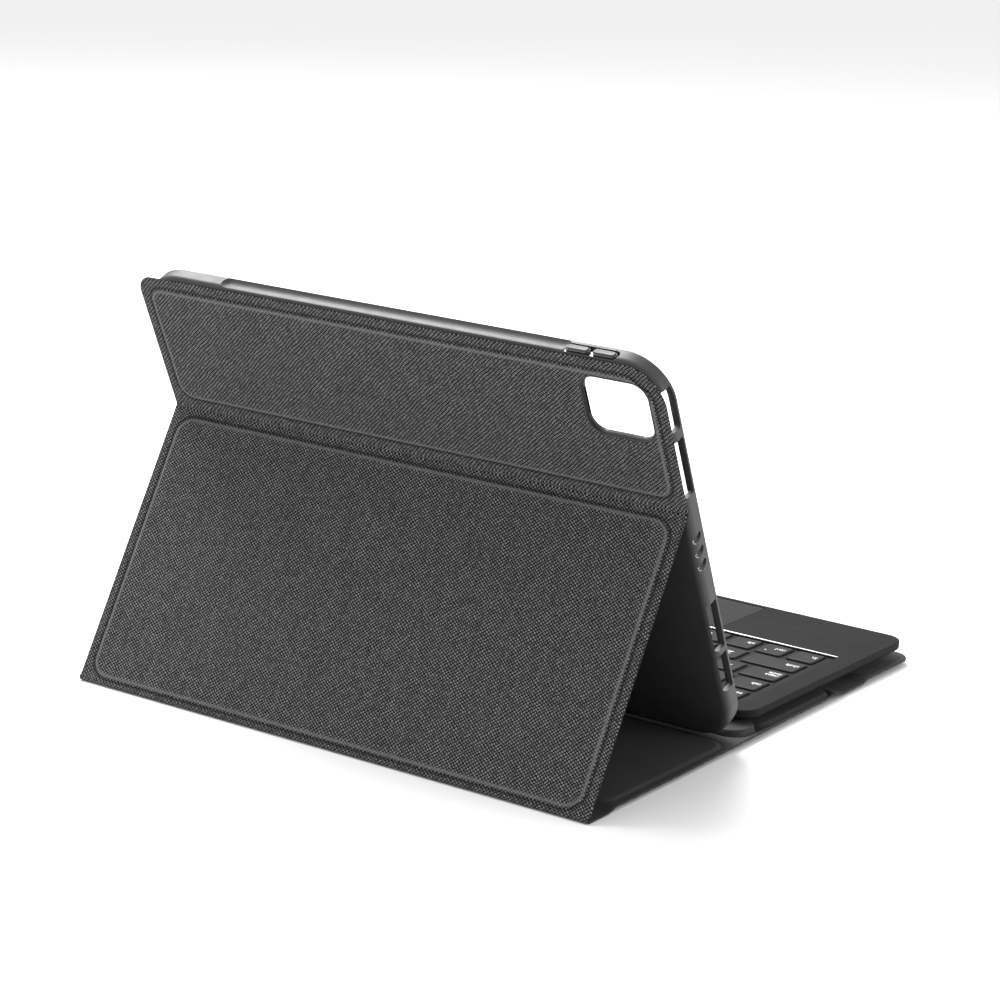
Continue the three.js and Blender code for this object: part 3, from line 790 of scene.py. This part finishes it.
def cover_sheet(name, s0, s1, near, outer, mat, cap0=True, cap1=True):
    """A closed sheet of the cover between s0 and s1: its exposed face, its bonded face and a rounded rim."""
    xs = x_columns()
    fold = [v for v in near if s0 - 2 <= v <= s1 + 2]
    s_list = spread(s0, s1, 8.0, fold, 0.55, 5.0)
    extra = [v for pair in (MARK["fold0"], MARK["fold1"]) for v in np.linspace(pair[0] - 0.6, pair[1] + 0.6, 9) if s0 < v < s1]
    free0, free1 = s0 < 1.0, s1 > S_END - 1.0
    if free0:
        extra += [0.4, 0.7, 1.1, 1.6, 2.3]
    if free1:
        extra += [s1 - v for v in (0.4, 0.7, 1.1, 1.7, 2.5)]
    s_list = np.unique(np.round(np.concatenate([s_list, [v for v in extra if s0 < v < s1]]), 4))
    keep = [0]
    for i in range(1, len(s_list)):
        if s_list[i] - s_list[keep[-1]] > 0.03 or i == len(s_list) - 1:
            keep.append(i)
    s_list = s_list[keep]
    if outer:
        face = lambda x, s: t_out(x, s)
        back = lambda x, s: t_out(x, s) + np.minimum(0.47, (t_in(x, s) - t_out(x, s)) / 2 - 0.01)
    else:
        face = lambda x, s: t_in(x, s)
        back = lambda x, s: t_in(x, s) - np.minimum(0.45, (t_in(x, s) - t_out(x, s)) / 2 - 0.01)
    s_face = s_list.copy()
    s_face[0] += 0.2 if free0 else 0.0
    s_face[-1] -= 0.2 if free1 else 0.0
    A, XA, SA = sheet_grid(s_face, xs, face, 0.2)
    B, XB, SB = sheet_grid(s_face, xs, back, 0.2)
    M, XM, SM = sheet_grid(s_list, xs, lambda x, s: (face(x, s) + back(x, s)) / 2, 0.0)
    n, m = XA.shape
    verts = [A.reshape(-1, 3), B.reshape(-1, 3)]
    # the mask for the painted shade and highlight of the pressed lines goes on the outer face only
    seam_light_mask = pressed if outer else (lambda x, s: x * 0)
    uv = [np.stack([XA, SA, seam_light_mask(XA, SA)], -1).reshape(-1, 3), np.stack([XB, SB, XB * 0], -1).reshape(-1, 3)]
    ia = np.arange(n * m).reshape(n, m)
    ib = ia + n * m
    flip = not outer
    faces = []
    for i in range(n - 1):
        for j in range(m - 1):
            q = (ia[i, j], ia[i + 1, j], ia[i + 1, j + 1], ia[i, j + 1])
            faces.append(q)
            q2 = (ib[i, j], ib[i, j + 1], ib[i + 1, j + 1], ib[i + 1, j])
            faces.append(q2)
    # rim loop, in order round the border
    border = [(0, j) for j in range(m)] + [(i, m - 1) for i in range(1, n)] + [(n - 1, j) for j in range(m - 2, -1, -1)] + [(i, 0) for i in range(n - 2, 0, -1)]
    rim = np.array([M[i, j] for i, j in border])
    base_i = 2 * n * m
    verts.append(rim)
    uv.append(np.array([[XM[i, j], SM[i, j], 0.0] for i, j in border]))
    k = len(border)
    for a in range(k):
        b = (a + 1) % k
        ra, rb = base_i + a, base_i + b
        (i0, j0), (i1, j1) = border[a], border[b]
        faces.append((ia[i0, j0], ia[i1, j1], rb, ra))
        faces.append((ra, rb, ib[i1, j1], ib[i0, j0]))
    ob = new_object(name, np.vstack(verts), faces, mat)
    set_vector(ob, "cloth", np.vstack(uv))
    bm = bmesh.new()
    bm.from_mesh(ob.data)
    bmesh.ops.recalc_face_normals(bm, faces=bm.faces)
    bm.to_mesh(ob.data)
    bm.free()
    return shade_by_angle(ob, 62)


def close_by(rects):
    return [v for r in rects for v in (r[2], r[2] + 3.5, r[2] + 7.5, r[3], r[3] - 3.5, r[3] - 7.5)]


NEAR_OUT = close_by((OUT_LOW, OUT_UP, OUT_BASE, OUT_FRONT, OUT_FLAP)) + [0.0, S_FOLD, S_APEX, S_END - 0.6]
NEAR_IN = close_by((IN_BASE, IN_RIDGE, IN_FRONT, IN_FLAP, IN_LOW)) + [0.0, S_FOLD, S_APEX]
S_A = s_base(-32.0)  # joins of the sheets lie on flat ground
S_B = s_low(70.0)
S_LAST = S_END - 0.6

outer_front = cover_sheet("cover_outer_front", 0.0, S_A, NEAR_OUT, True, TEXTILE)
outer_rear = cover_sheet("cover_outer_rear", S_A, S_B, NEAR_OUT, True, TEXTILE)
outer_top = cover_sheet("cover_outer_top", S_B, S_LAST, NEAR_OUT, True, TEXTILE)
inner_front = cover_sheet("cover_lining_front", 0.0, S_A, NEAR_IN, False, LINING)
inner_rear = cover_sheet("cover_lining_rear", S_A, S_B, NEAR_IN, False, LINING)
S_IN_END = s_up(UP_LEN - 2.4)
inner_top = cover_sheet("cover_lining_middle_fold", S_B, S_IN_END, NEAR_IN, False, LINING)

# the window for the tablet's camera
WIN = (-119.3, -90.1, -34.2, -8.6)


def window_cutter(grow, z0, z1, name="cutter"):
    lp = rr_loop(WIN[0] - grow, WIN[1] + grow, WIN[2] - grow, WIN[3] + grow, 6.6 + grow, 14)
    return prism(name, lp, z0, z1, M_UP)


cut(outer_top, [window_cutter(1.05, -1.5, 2.0)])
drop_crumbs(outer_top)


def refresh_cloth(ob):
    """After a cut, gives every vertex its place on the flat cloth again."""
    co = np.array([v.co for v in ob.data.vertices], float) / MM
    best = None
    for key, extra in (("line0", 0), ("line1", 0), ("line2", 0)):
        s0, start, d, length = MARK[key]
        rel = co[:, 1:] - start
        q = np.clip(rel @ d, -1.5, length + 1.5)
        away = np.linalg.norm(rel - q[:, None] * d, axis=1)
        s = s0 + q
        if best is None:
            best, dist = s, away
        else:
            best = np.where(away < dist, s, best)
            dist = np.minimum(dist, away)
    set_vector(ob, "cloth", np.c_[co[:, 0], best, pressed(co[:, 0], best)])


refresh_cloth(outer_top)
shade_by_angle(outer_top, 60)

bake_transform(outer_front)
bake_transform(inner_front)
for ob in (outer_rear, inner_rear):
    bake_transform(ob)
for ob in (outer_top, inner_top):
    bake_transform(ob)

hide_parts("flap_fabric")
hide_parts("base_fabric", "lower_back_fabric")
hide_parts("upper_back_fabric")
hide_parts("flap_lining")
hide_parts("base_lining", "lower_back_lining")

# ------------------------------------------------------------------ the tray


def arc_rings(i0, z0, i1, z1, n=5, hollow=False):
    """Ring points of a quarter round from (i0, z0) to (i1, z1); it leaves vertically unless hollow."""
    out = []
    for k in range(n + 1):
        a = k / n * math.pi / 2
        if hollow:
            out.append((i0 + (i1 - i0) * (1 - math.cos(a)), z0 + (z1 - z0) * math.sin(a)))
        else:
            out.append((i0 + (i1 - i0) * math.sin(a), z0 + (z1 - z0) * (1 - math.cos(a))))
    return out


def tray():
    rect = (-TRAY_HX, TRAY_HX, -TRAY_H, 0.0)
    w = 2.2
    # from the middle of the back, round the outside, over the lip, down the pocket wall to the floor
    rings = [(30, 1.6), (9.0, 1.6), (4.6, 1.6)]
    rings += [(3.6 - 3.6 * math.sin(q), 1.6 + 2.9 * (1 - math.cos(q))) for q in np.linspace(0, math.pi / 2, 9)]
    rings += [(0.0, 6.4)]
    rings += [(1.4 - 1.4 * math.cos(q), 8.4 + 1.4 * math.sin(q)) for q in np.linspace(0, math.pi / 2, 7)]
    rings += [(3.4, 9.8)] + [(3.4 + 0.6 * math.sin(q), 9.2 + 0.6 * math.cos(q)) for q in np.linspace(0.2, math.pi / 2, 4)]
    rings += [(4.0, 9.12), (3.85, 9.05), (w, 9.05), (w, 3.6)]
    rings += [(w + 0.9 * (1 - math.cos(q)), 3.6 - 0.9 * math.sin(q)) for q in np.linspace(0.3, math.pi / 2, 4)]
    rings += [(8, 2.7), (30, 2.7)]
    ob = swept("tray_shell", rect, 19.0, rings, TRAY, seg=18, straight=6, transform=M_UP)
    cutters = [window_cutter(0.0, 0.5, 4.2)]

    def side_slot(side, s0, s1, t0=2.3, t1=7.9, r=0.9, slant=0.0):
        lp = rr_loop(s0, s1, t0, t1, r, 6)
        if slant:
            lp = np.c_[lp[:, 0] + slant * (lp[:, 1] - (t0 + t1) / 2), lp[:, 1]]
        # along the wall -> -y, depth -> z, through -> x
        local = np.array([[0, 0, 1, 0], [-1, 0, 0, 0], [0, 1, 0, 0], [0, 0, 0, 1]], float)
        x0 = -TRAY_HX - 2 if side < 0 else TRAY_HX - 3.2
        local[0, 3] = x0
        return prism("cutter", lp, 0, 5.2, M_UP @ local)

    for s0, s1 in ((11.9, 30.3), (34.8, 60.8), (113, 136.4), (138.8, 156.8)):
        cutters.append(side_slot(-1, s0, s1))
    for s0 in (79.2, 85.8, 92.2):
        cutters.append(side_slot(-1, s0, s0 + 3.1, 2.3, 6.8, 1.4, slant=-0.5))
    for s0, s1 in ((34.8, 60.8), (85, 99), (123, 149)):
        cutters.append(side_slot(1, s0, s1))
    # the window for the button covers in the top wall
    lp = rr_loop(-106.9, -82.0, 2.7, 7.5, 2.2, 6)
    local = np.array([[1, 0, 0, 0], [0, 0, 1, -3.2], [0, 1, 0, 0], [0, 0, 0, 1]], float)
    cutters.append(prism("cutter", lp, 0, 5.2, M_UP @ local))
    # the stylus cradle: a trough with rounded ends
    mid = 5.85
    verts, faces, n = [], [], 32
    prof = [(-85.7 + 4.7 * (1 - math.cos(a)), 4.7 * math.sin(a)) for a in np.linspace(0.12, math.pi / 2, 10)]
    prof += [(x, 4.7) for x in np.linspace(-81 + 9, 72, 18)]
    prof += [(85.7 - 4.7 * (1 - math.cos(a)), 4.7 * math.sin(a)) for a in np.linspace(math.pi / 2, 0.12, 10)]
    for x, r in prof:
        for k in range(n):
            a = 2 * math.pi * k / n
            verts.append((x, 3.05 + r * math.cos(a), mid + r * math.sin(a)))
    for i in range(len(prof) - 1):
        for k in range(n):
            q = (k + 1) % n
            faces.append((i * n + k, i * n + q, (i + 1) * n + q, (i + 1) * n + k))
    faces.append(tuple(range(n - 1, -1, -1)))
    faces.append(tuple(range((len(prof) - 1) * n, len(prof) * n)))
    v = np.array(verts) @ M_UP[:3, :3].T + M_UP[:3, 3]
    c = new_object("cutter", v, faces, [])
    clean(c)
    cutters.append(c)
    cut(ob, cutters)
    clean(ob, 2e-6)
    bevel(ob, 0.24, 2, 50)
    shade_by_angle(ob, 40)
    return weigh(ob)


tray_ob = tray()
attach(tray_ob, "tray_unit")
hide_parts("tablet_tray")

# moulded rim round the camera window, level with the cloth; its inner wall takes the black rubber material as painted
# shade
rim = swept(
    "camera_window_rim", (WIN[0] - 0.95, WIN[1] + 0.95, WIN[2] - 0.95, WIN[3] + 0.95), 7.55,
    [(0.0, 1.62), (0.0, 0.25), (0.1, 0.0), (0.28, -0.12), (0.5, -0.12), (0.68, 0.0), (0.82, 0.3), (0.95, 0.6), (0.95, 2.72), (0.3, 2.75), (0.0, 2.6)],
    [TRAY, RUBBER_AND_RIM_SHADE], seg=16, closed=True, transform=M_UP, ring_mat=[0, 0, 0, 0, 0, 1, 1, 1, 1, 1, 1],
)
clean(rim)
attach(rim, "tray_unit")

for node, x0, x1 in (("volume_cover_up", -93.7, -83.2), ("volume_cover_down", -105.7, -95.2)):
    # (x, depth) outline, standing along the panel's own y
    local = np.array([[1, 0, 0, 0], [0, 0, 1, 0], [0, 1, 0, 0], [0, 0, 0, 1]], float)
    rings = [(0.5, -2.4), (0.0, -2.2), (0.0, -0.35)] + arc_rings(0.0, -0.35, 0.7, 0.35, 5)[1:] + [(1.2, 0.38), (1.6, 0.30)]
    ob = swept(node.replace("cover", "button_cap"), (x0, x1, 3.3, 6.9), 1.75, rings, TRAY, seg=8, transform=M_UP @ local)
    clean(ob)
    shade_by_angle(ob, 50)
    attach(ob, "volume_up_button" if "up" in node else "volume_down_button")
    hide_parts(node)

# ------------------------------------------------------------------ the keyboard
ROWS = [
    ("number", (-19.4, -9.0), [("key_esc", 1), ("", 12), ("key_backspace", 1)]),
    ("upper", (-35.8, -22.4), [("key_tab", 1.1), ("", 12), ("key_backslash", 0.9)]),
    ("home", (-52.2, -38.8), [("key_caps_lock", 1.3), ("", 11), ("key_enter", 1.7)]),
    ("lower", (-68.6, -55.2), [("key_shift_left", 1.85), ("", 10), ("key_shift_right", 2.15)]),
    ("bottom", (-85.0, -71.6), [("key_fn", 1), ("key_ctrl", 1), ("key_alt", 1), ("key_command_left", 1.2), ("key_space", 5.6), ("key_command_right", 1.2), ("key_arrow_left", 1), ("arrows", 1), ("key_arrow_right", 1)]),
]
CHARS = {"number": "1234567890-=", "upper": "QWERTYUIOP[]", "home": "ASDFGHJKL;'", "lower": "ZXCVBNM,./"}
SHIFTED = {"number": "!@#$%^&*()_+", "upper": "          {}", "home": '         :"', "lower": "       <>?"}
WORDS = {
    "key_esc": ("esc", "l"), "key_backspace": ("delete", "r"), "key_tab": ("tab", "l"), "key_backslash": ("\\", "c"),
    "key_caps_lock": ("caps\nlock", "l"), "key_enter": ("return", "r"), "key_shift_left": ("shift", "l"), "key_shift_right": ("shift", "r"),
    "key_fn": ("fn", "l"), "key_ctrl": ("ctrl", "l"), "key_alt": ("alt", "l"), "key_command_left": ("cmd", "r"), "key_command_right": ("cmd", "l"),
}
PITCH, GAP = 15.6, 3.0
KEYS = []
for row, ys, cells in ROWS:
    u = -7.0
    for name, w in cells:
        if name == "":
            for i in range(w):
                KEYS.append(dict(web=row, i=i, x=((u + i) * PITCH + GAP / 2, (u + i + 1) * PITCH - GAP / 2), y=ys))
        else:
            x = (u * PITCH + GAP / 2, (u + w) * PITCH - GAP / 2)
            mid = (ys[0] + ys[1]) / 2
            if name == "arrows":
                KEYS.append(dict(name="key_arrow_down", x=x, y=(ys[0], mid - 0.6)))
                KEYS.append(dict(name="key_arrow_up", x=x, y=(mid + 0.6, ys[1])))
            else:
                KEYS.append(dict(name=name, x=x, y=ys))
        u += w


def deck():
    rings = [(8.0, 8.9), (1.9, 8.9), (1.9, 6.3), (1.35, 6.3), (0.8, 6.6), (0.3, 7.0), (0.05, 7.35), (0.0, 7.7), (0.0, 9.4)]
    rings += [(0.42 - 0.42 * math.cos(q), 10.08 + 0.42 * math.sin(q)) for q in np.linspace(0, math.pi / 2, 5)]
    rings += [(1.4, 10.5), (8.0, 10.5)]
    ob = swept("keyboard_top_shell", (-122, 122, -133.1, 6.3), 9.0, rings, [DECK, KEY_WELL_SHADE], seg=14, straight=4)
    well = prism("cutter", rr_loop(-112.5, 112.5, -86.5, -6.6, 2.5, 8), 9.4, 12)
    pad = prism("cutter", rr_loop(-52.0, 52.0, -130.3, -90.3, 1.9, 6), 8.0, 12)
    trim = prism("cutter", rr_loop(-112.5, 112.5, -87.7, -86.3, 0.5, 4), 9.85, 12)
    socket = prism("cutter", rr_loop(113.5, 125, -74.8, -65.2, 0.3, 3), 5.0, 9.8)
    knob = prism("cutter", rr_loop(117, 125, -92.2, -83, 0.3, 3), 7.0, 9.2)
    light = prism("cutter", rr_loop(106, 109, -92.5, -90.5, 0.6, 4), 8.0, 12)
    holes_v, holes_f = [], []
    for k in KEYS:
        lp = rr_loop(k["x"][0] - 0.4, k["x"][1] + 0.4, k["y"][0] - 0.4, k["y"][1] + 0.4, 1.4, 3)
        n, b = len(lp), len(holes_v)
        holes_v += [(*p, 8.0) for p in lp] + [(*p, 9.8) for p in lp]
        holes_f += [tuple(b + i for i in range(n - 1, -1, -1)), tuple(b + n + i for i in range(n))]
        holes_f += [(b + i, b + (i + 1) % n, b + n + (i + 1) % n, b + n + i) for i in range(n)]
    holes = new_object("cutter", holes_v, holes_f, [])
    cut(ob, [well, pad, trim, socket, knob, light, holes])
    clean(ob, 2e-6)
    bevel(ob, 0.2, 2, 50)
    for f in ob.data.polygons:  # the recess between the keys: a darker plastic than the deck, as painted shade
        c = f.center / MM
        if abs(c.x) < 112.4 and -86.4 < c.y < -6.7 and c.z < 10.1:
            f.material_index = 1
    shade_by_angle(ob, 42)
    return weigh(ob)


deck_ob = deck()
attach(deck_ob, "keyboard")
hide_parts("keyboard_deck")

bottom = swept(
    "keyboard_under_shell", (-121.7, 121.7, -132.8, 6.0), 8.7,
    [(30, 5.2), (6.0, 5.2), (4.4, 5.22), (3.4, 5.35), (2.4, 5.7), (1.7, 6.05), (1.5, 6.18), (2.4, 6.2), (30, 6.2)],
    SIDE, seg=12, straight=3,
)
clean(bottom)
shade_by_angle(bottom, 40)
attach(bottom, "keyboard")
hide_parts("keyboard_bottom_case")

for node, (y0, y1) in (("keyboard_foot_front", (-129, -123)), ("keyboard_foot_middle", (-40, -34))):
    f = swept(node + "_pad", (-100, 100, y0, y1), 2.9, [(0.9, 3.0), (0.45, 3.08), (0.1, 3.4), (0.0, 3.8), (0.0, 5.15)], RUBBER_AND_RIM_SHADE, seg=8, straight=2)
    clean(f)
    shade_by_angle(f, 50)
    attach(f, "keyboard")
    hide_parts(node)

trim_ob = swept(
    "keyboard_bright_strip", (-112.3, 112.3, -87.6, -86.6), 0.3,
    [(0.0, 9.95), (0.0, 10.42), (0.05, 10.52), (0.16, 10.6), (0.3, 10.63)], TRIM, seg=3, straight=2,
)
clean(trim_ob)
shade_by_angle(trim_ob, 60)
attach(trim_ob, "keyboard")
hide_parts("keyboard_trim_strip")

pad_ob = swept(
    "trackpad_touch_plate", (-51.7, 51.7, -130.0, -90.6), 1.7,
    [(6, 9.3), (0.3, 9.3), (0.0, 9.5), (0.0, 10.2), (0.06, 10.32), (0.2, 10.39), (0.4, 10.4), (6, 10.4)], PAD, seg=6, straight=3,
)
clean(pad_ob)
shade_by_angle(pad_ob, 50)
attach(pad_ob, "trackpad")
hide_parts("trackpad_plate")

knob = swept(
    "power_switch_slider", (118.8, 122.7, -91.2, -88.2), 0.4,
    [(0.1, 7.3), (0.0, 7.4), (0.0, 8.75), (0.1, 8.87), (0.3, 8.9)], KEY, seg=4,
)
clean(knob)
grooves = [prism("cutter", rr_loop(122.35, 123.5, y - 0.16, y + 0.16, 0.05, 2), 7.0, 9.2) for y in (-90.6, -90.0, -89.4, -88.8)]
cut(knob, grooves)
clean(knob)
shade_by_angle(knob, 40)
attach(knob, "power_switch")
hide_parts("power_switch_knob")


def cap_mesh(k):
    """Vertices and faces of one keycap: flared foot, tapered sides, rounded shoulder and a shallow dish."""
    (x0, x1), (y0, y1) = k["x"], k["y"]
    z0, z1 = KEYS_Z
    prof = [(0.25, z0), (0.0, z0 + 0.12), (0.02, z0 + 0.7), (0.16, z1 - 0.55), (0.24, z1 - 0.26), (0.38, z1 - 0.10), (0.60, z1 - 0.02), (0.9, z1), (1.5, z1 - 0.03), (2.4, z1 - 0.075)]
    w = min(x1 - x0, y1 - y0) / 2
    prof = [(i, z) for i, z in prof if i < w - 0.4] + [(w - 0.35, z1 - 0.09)]
    verts, faces, n = [], [], None
    for inset, z in prof:
        lp = rr_loop(x0 + inset, x1 - inset, y0 + inset, y1 - inset, max(0.12, 1.35 - inset * 0.75), 5)
        n = len(lp)
        verts += [(p[0], p[1], z) for p in lp]
    for i in range(len(prof) - 1):
        for j in range(n):
            q = (j + 1) % n
            faces.append((i * n + j, i * n + q, (i + 1) * n + q, (i + 1) * n + j))
    faces.append(tuple(range(n - 1, -1, -1)))
    faces.append(tuple(range((len(prof) - 1) * n, len(prof) * n)))
    return verts, faces


def text_mesh(body, size, x, y, z, align="CENTER", up=False, bold=0.0):
    """Thin raised lettering as mesh data: (verts, faces)."""
    cu = bpy.data.curves.new("legend", "FONT")
    cu.body = body
    cu.size = size
    cu.align_x = align
    cu.align_y = "CENTER"
    cu.extrude = 0.012
    cu.offset = bold
    cu.resolution_u = 3
    cu.space_line = 0.8
    ob = bpy.data.objects.new("legend", cu)
    SCENE.collection.objects.link(ob)
    bpy.context.view_layer.update()
    deps = bpy.context.evaluated_depsgraph_get()
    me = bpy.data.meshes.new_from_object(ob.evaluated_get(deps), depsgraph=deps)
    v = [(c.co.x + x, c.co.y + y, c.co.z + z) for c in me.vertices]
    f = [tuple(p.vertices) for p in me.polygons]
    bpy.data.objects.remove(ob)
    bpy.data.curves.remove(cu)
    bpy.data.meshes.remove(me)
    return v, f


def arrow_mesh(cx, cy, z, size, turn):
    tri = np.array([(0, 0.62), (0.55, -0.38), (-0.55, -0.38)]) * size
    c, s = math.cos(turn), math.sin(turn)
    tri = tri @ np.array([[c, s], [-s, c]])
    v = [(p[0] + cx, p[1] + cy, z - 0.012) for p in tri] + [(p[0] + cx, p[1] + cy, z + 0.012) for p in tri]
    return v, [(2, 1, 0), (3, 4, 5), (0, 1, 4, 3), (1, 2, 5, 4), (2, 0, 3, 5)]


def legends(k):
    """Lettering for one key, as a list of (verts, faces)."""
    (x0, x1), (y0, y1) = k["x"], k["y"]
    cx, cy, z = (x0 + x1) / 2, (y0 + y1) / 2, KEYS_Z[1] - 0.055
    out = []
    if "web" in k:
        row, i = k["web"], k["i"]
        main, alt = CHARS[row][i], SHIFTED[row][i]
        if row == "number":
            out.append(text_mesh(main, 3.7, cx, cy - 2.1, z, bold=0.03))
            out.append(text_mesh(alt, 3.0, cx, cy + 2.2, z, bold=0.03))
        elif alt.strip():
            out.append(text_mesh(main, 4.0, cx, cy - 2.6, z, bold=0.03))
            out.append(text_mesh(alt, 3.6, cx, cy + 2.6, z, bold=0.03))
        else:
            out.append(text_mesh(main, 5.2, cx, cy, z, bold=0.03))
        return out
    name = k["name"]
    if name.startswith("key_arrow"):
        turn = {"key_arrow_up": 0, "key_arrow_down": math.pi, "key_arrow_left": math.pi / 2, "key_arrow_right": -math.pi / 2}[name]
        out.append(arrow_mesh(cx, cy, z, 1.9, turn))
    elif name in WORDS:
        word, side = WORDS[name]
        size = 3.9 if name != "key_backslash" else 4.6
        if side == "c":
            out.append(text_mesh(word, size, cx, cy, z, bold=0.02))
        else:
            x = x0 + 1.3 if side == "l" else x1 - 1.3
            out.append(text_mesh(word, size, x, cy - (1.4 if (y1 - y0) > 12 else 0.6), z, align="LEFT" if side == "l" else "RIGHT", bold=0.03))
        if name in ("key_ctrl", "key_command_left", "key_command_right", "key_alt"):
            tip = {"key_ctrl": 0.0}.get(name)
            if tip is not None:
                out.append(arrow_mesh(x1 - 3.0, cy + 2.6, z, 1.1, tip))
    return out


def key_piece(name, keys, body, node):
    verts, faces, mats = [], [], []
    for k in keys:
        v, f = cap_mesh(k)
        b = len(verts)
        verts += v
        faces += [tuple(b + i for i in q) for q in f]
        mats += [0] * len(f)
    if len(keys) > 1:  # the web that joins a row's caps under the deck
        y = (keys[0]["y"][0] + keys[0]["y"][1]) / 2
        v = [(x, yy, z) for z in (8.02, 8.42) for yy in (y - 1.1, y + 1.1) for x in (keys[0]["x"][0] + 1.5, keys[-1]["x"][1] - 1.5)]
        b = len(verts)
        verts += v
        f = [(0, 2, 3, 1), (4, 5, 7, 6), (0, 1, 5, 4), (2, 6, 7, 3), (0, 4, 6, 2), (1, 3, 7, 5)]
        faces += [tuple(b + i for i in q) for q in f]
        mats += [0] * 6
    for k in keys:
        for v, f in legends(k):
            b = len(verts)
            verts += v
            faces += [tuple(b + i for i in q) for q in f]
            mats += [1] * len(f)
    ob = new_object(name, verts, faces, [KEY, LEGEND], mats)
    shade_by_angle(ob, 38)
    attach(ob, body)
    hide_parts(node)
    return ob


for k in KEYS:
    if "name" in k:
        key_piece(k["name"].replace("key_", "keycap_"), [k], k["name"] + "_cap", k["name"])
for row in ("number", "upper", "home", "lower"):
    key_piece(f"keycaps_{row}_row", [k for k in KEYS if k.get("web") == row], f"keys_{row}_row", f"keys_{row}_row")

# ------------------------------------------------------------------ stage, light and camera
floor_mat = Tree("floor_paint")
p = floor_mat.position()
n = floor_mat.noise(p, 3.0, 2.0)
floor_mat.base(floor_mat.mix(n, (0.86, 0.86, 0.865), (0.88, 0.88, 0.885)))
floor_mat.rough(0.7)
floor_mat.bsdf.inputs["Specular IOR Level"].default_value = 0.2
size = 6.0
floor = new_object("stage_floor", [(-size, -size, -0.0002), (size, -size, -0.0002), (size, size, -0.0002), (-size, size, -0.0002)], [(0, 1, 2, 3)], floor_mat.mat, scale=1.0)

world = bpy.data.worlds.new("soft_studio")
world.use_nodes = True
bg = world.node_tree.nodes["Background"]
bg.inputs[0].default_value = (1.0, 1.0, 1.0, 1.0)
bg.inputs[1].default_value = 1.0
SCENE.world = world
SCENE.view_settings.view_transform = "Standard"
SCENE.view_settings.look = "None"
SCENE.view_settings.exposure = 0.0
SCENE.view_settings.gamma = 1.0


def area_light(name, place, aim, size, power, colour=(1, 1, 1)):
    d = bpy.data.lights.new(name, "AREA")
    d.shape = "RECTANGLE"
    d.size, d.size_y = size
    d.energy = power
    d.color = colour
    o = bpy.data.objects.new(name, d)
    SCENE.collection.objects.link(o)
    o.location = place
    o.rotation_euler = (Vector(aim) - Vector(place)).to_track_quat("-Z", "Y").to_euler()
    return o


area_light("overhead_soft", (0.80, -0.38, 1.30), (0.0, 0.08, 0.14), (1.10, 0.90), 42.0)
area_light("far_rear_soft", (1.50, 1.30, 0.16), (0.05, 0.05, 0.14), (0.8, 0.3), 4.5)
area_light("near_side_soft", (-1.35, -0.35, 0.45), (0.0, -0.05, 0.02), (0.7, 0.6), 5.0)

az, el, roll = math.radians(213.89), math.radians(14.62), math.radians(2.80)
back = Vector((math.sin(az) * math.cos(el), -math.cos(az) * math.cos(el), math.sin(el)))
right = (-back).cross(Vector((0, 0, 1))).normalized()
up = right.cross(-back)
cx = right * math.cos(roll) + up * math.sin(roll)
cy = up * math.cos(roll) - right * math.sin(roll)
cam_data = bpy.data.cameras.new("camera")
cam_data.sensor_fit = "HORIZONTAL"
cam_data.sensor_width = 36.0
cam_data.lens = 2996.6 * 36.0 / 1000.0
cam_data.clip_start, cam_data.clip_end = 0.01, 50.0
cam = bpy.data.objects.new("camera", cam_data)
SCENE.collection.objects.link(cam)
m = Matrix.Identity(4)
for i in range(3):
    m[i][0], m[i][1], m[i][2] = cx[i], cy[i], back[i]
m.translation = Vector((-0.6806, 0.8925 + 0.135, 0.3974))
cam.matrix_world = m
SCENE.camera = cam
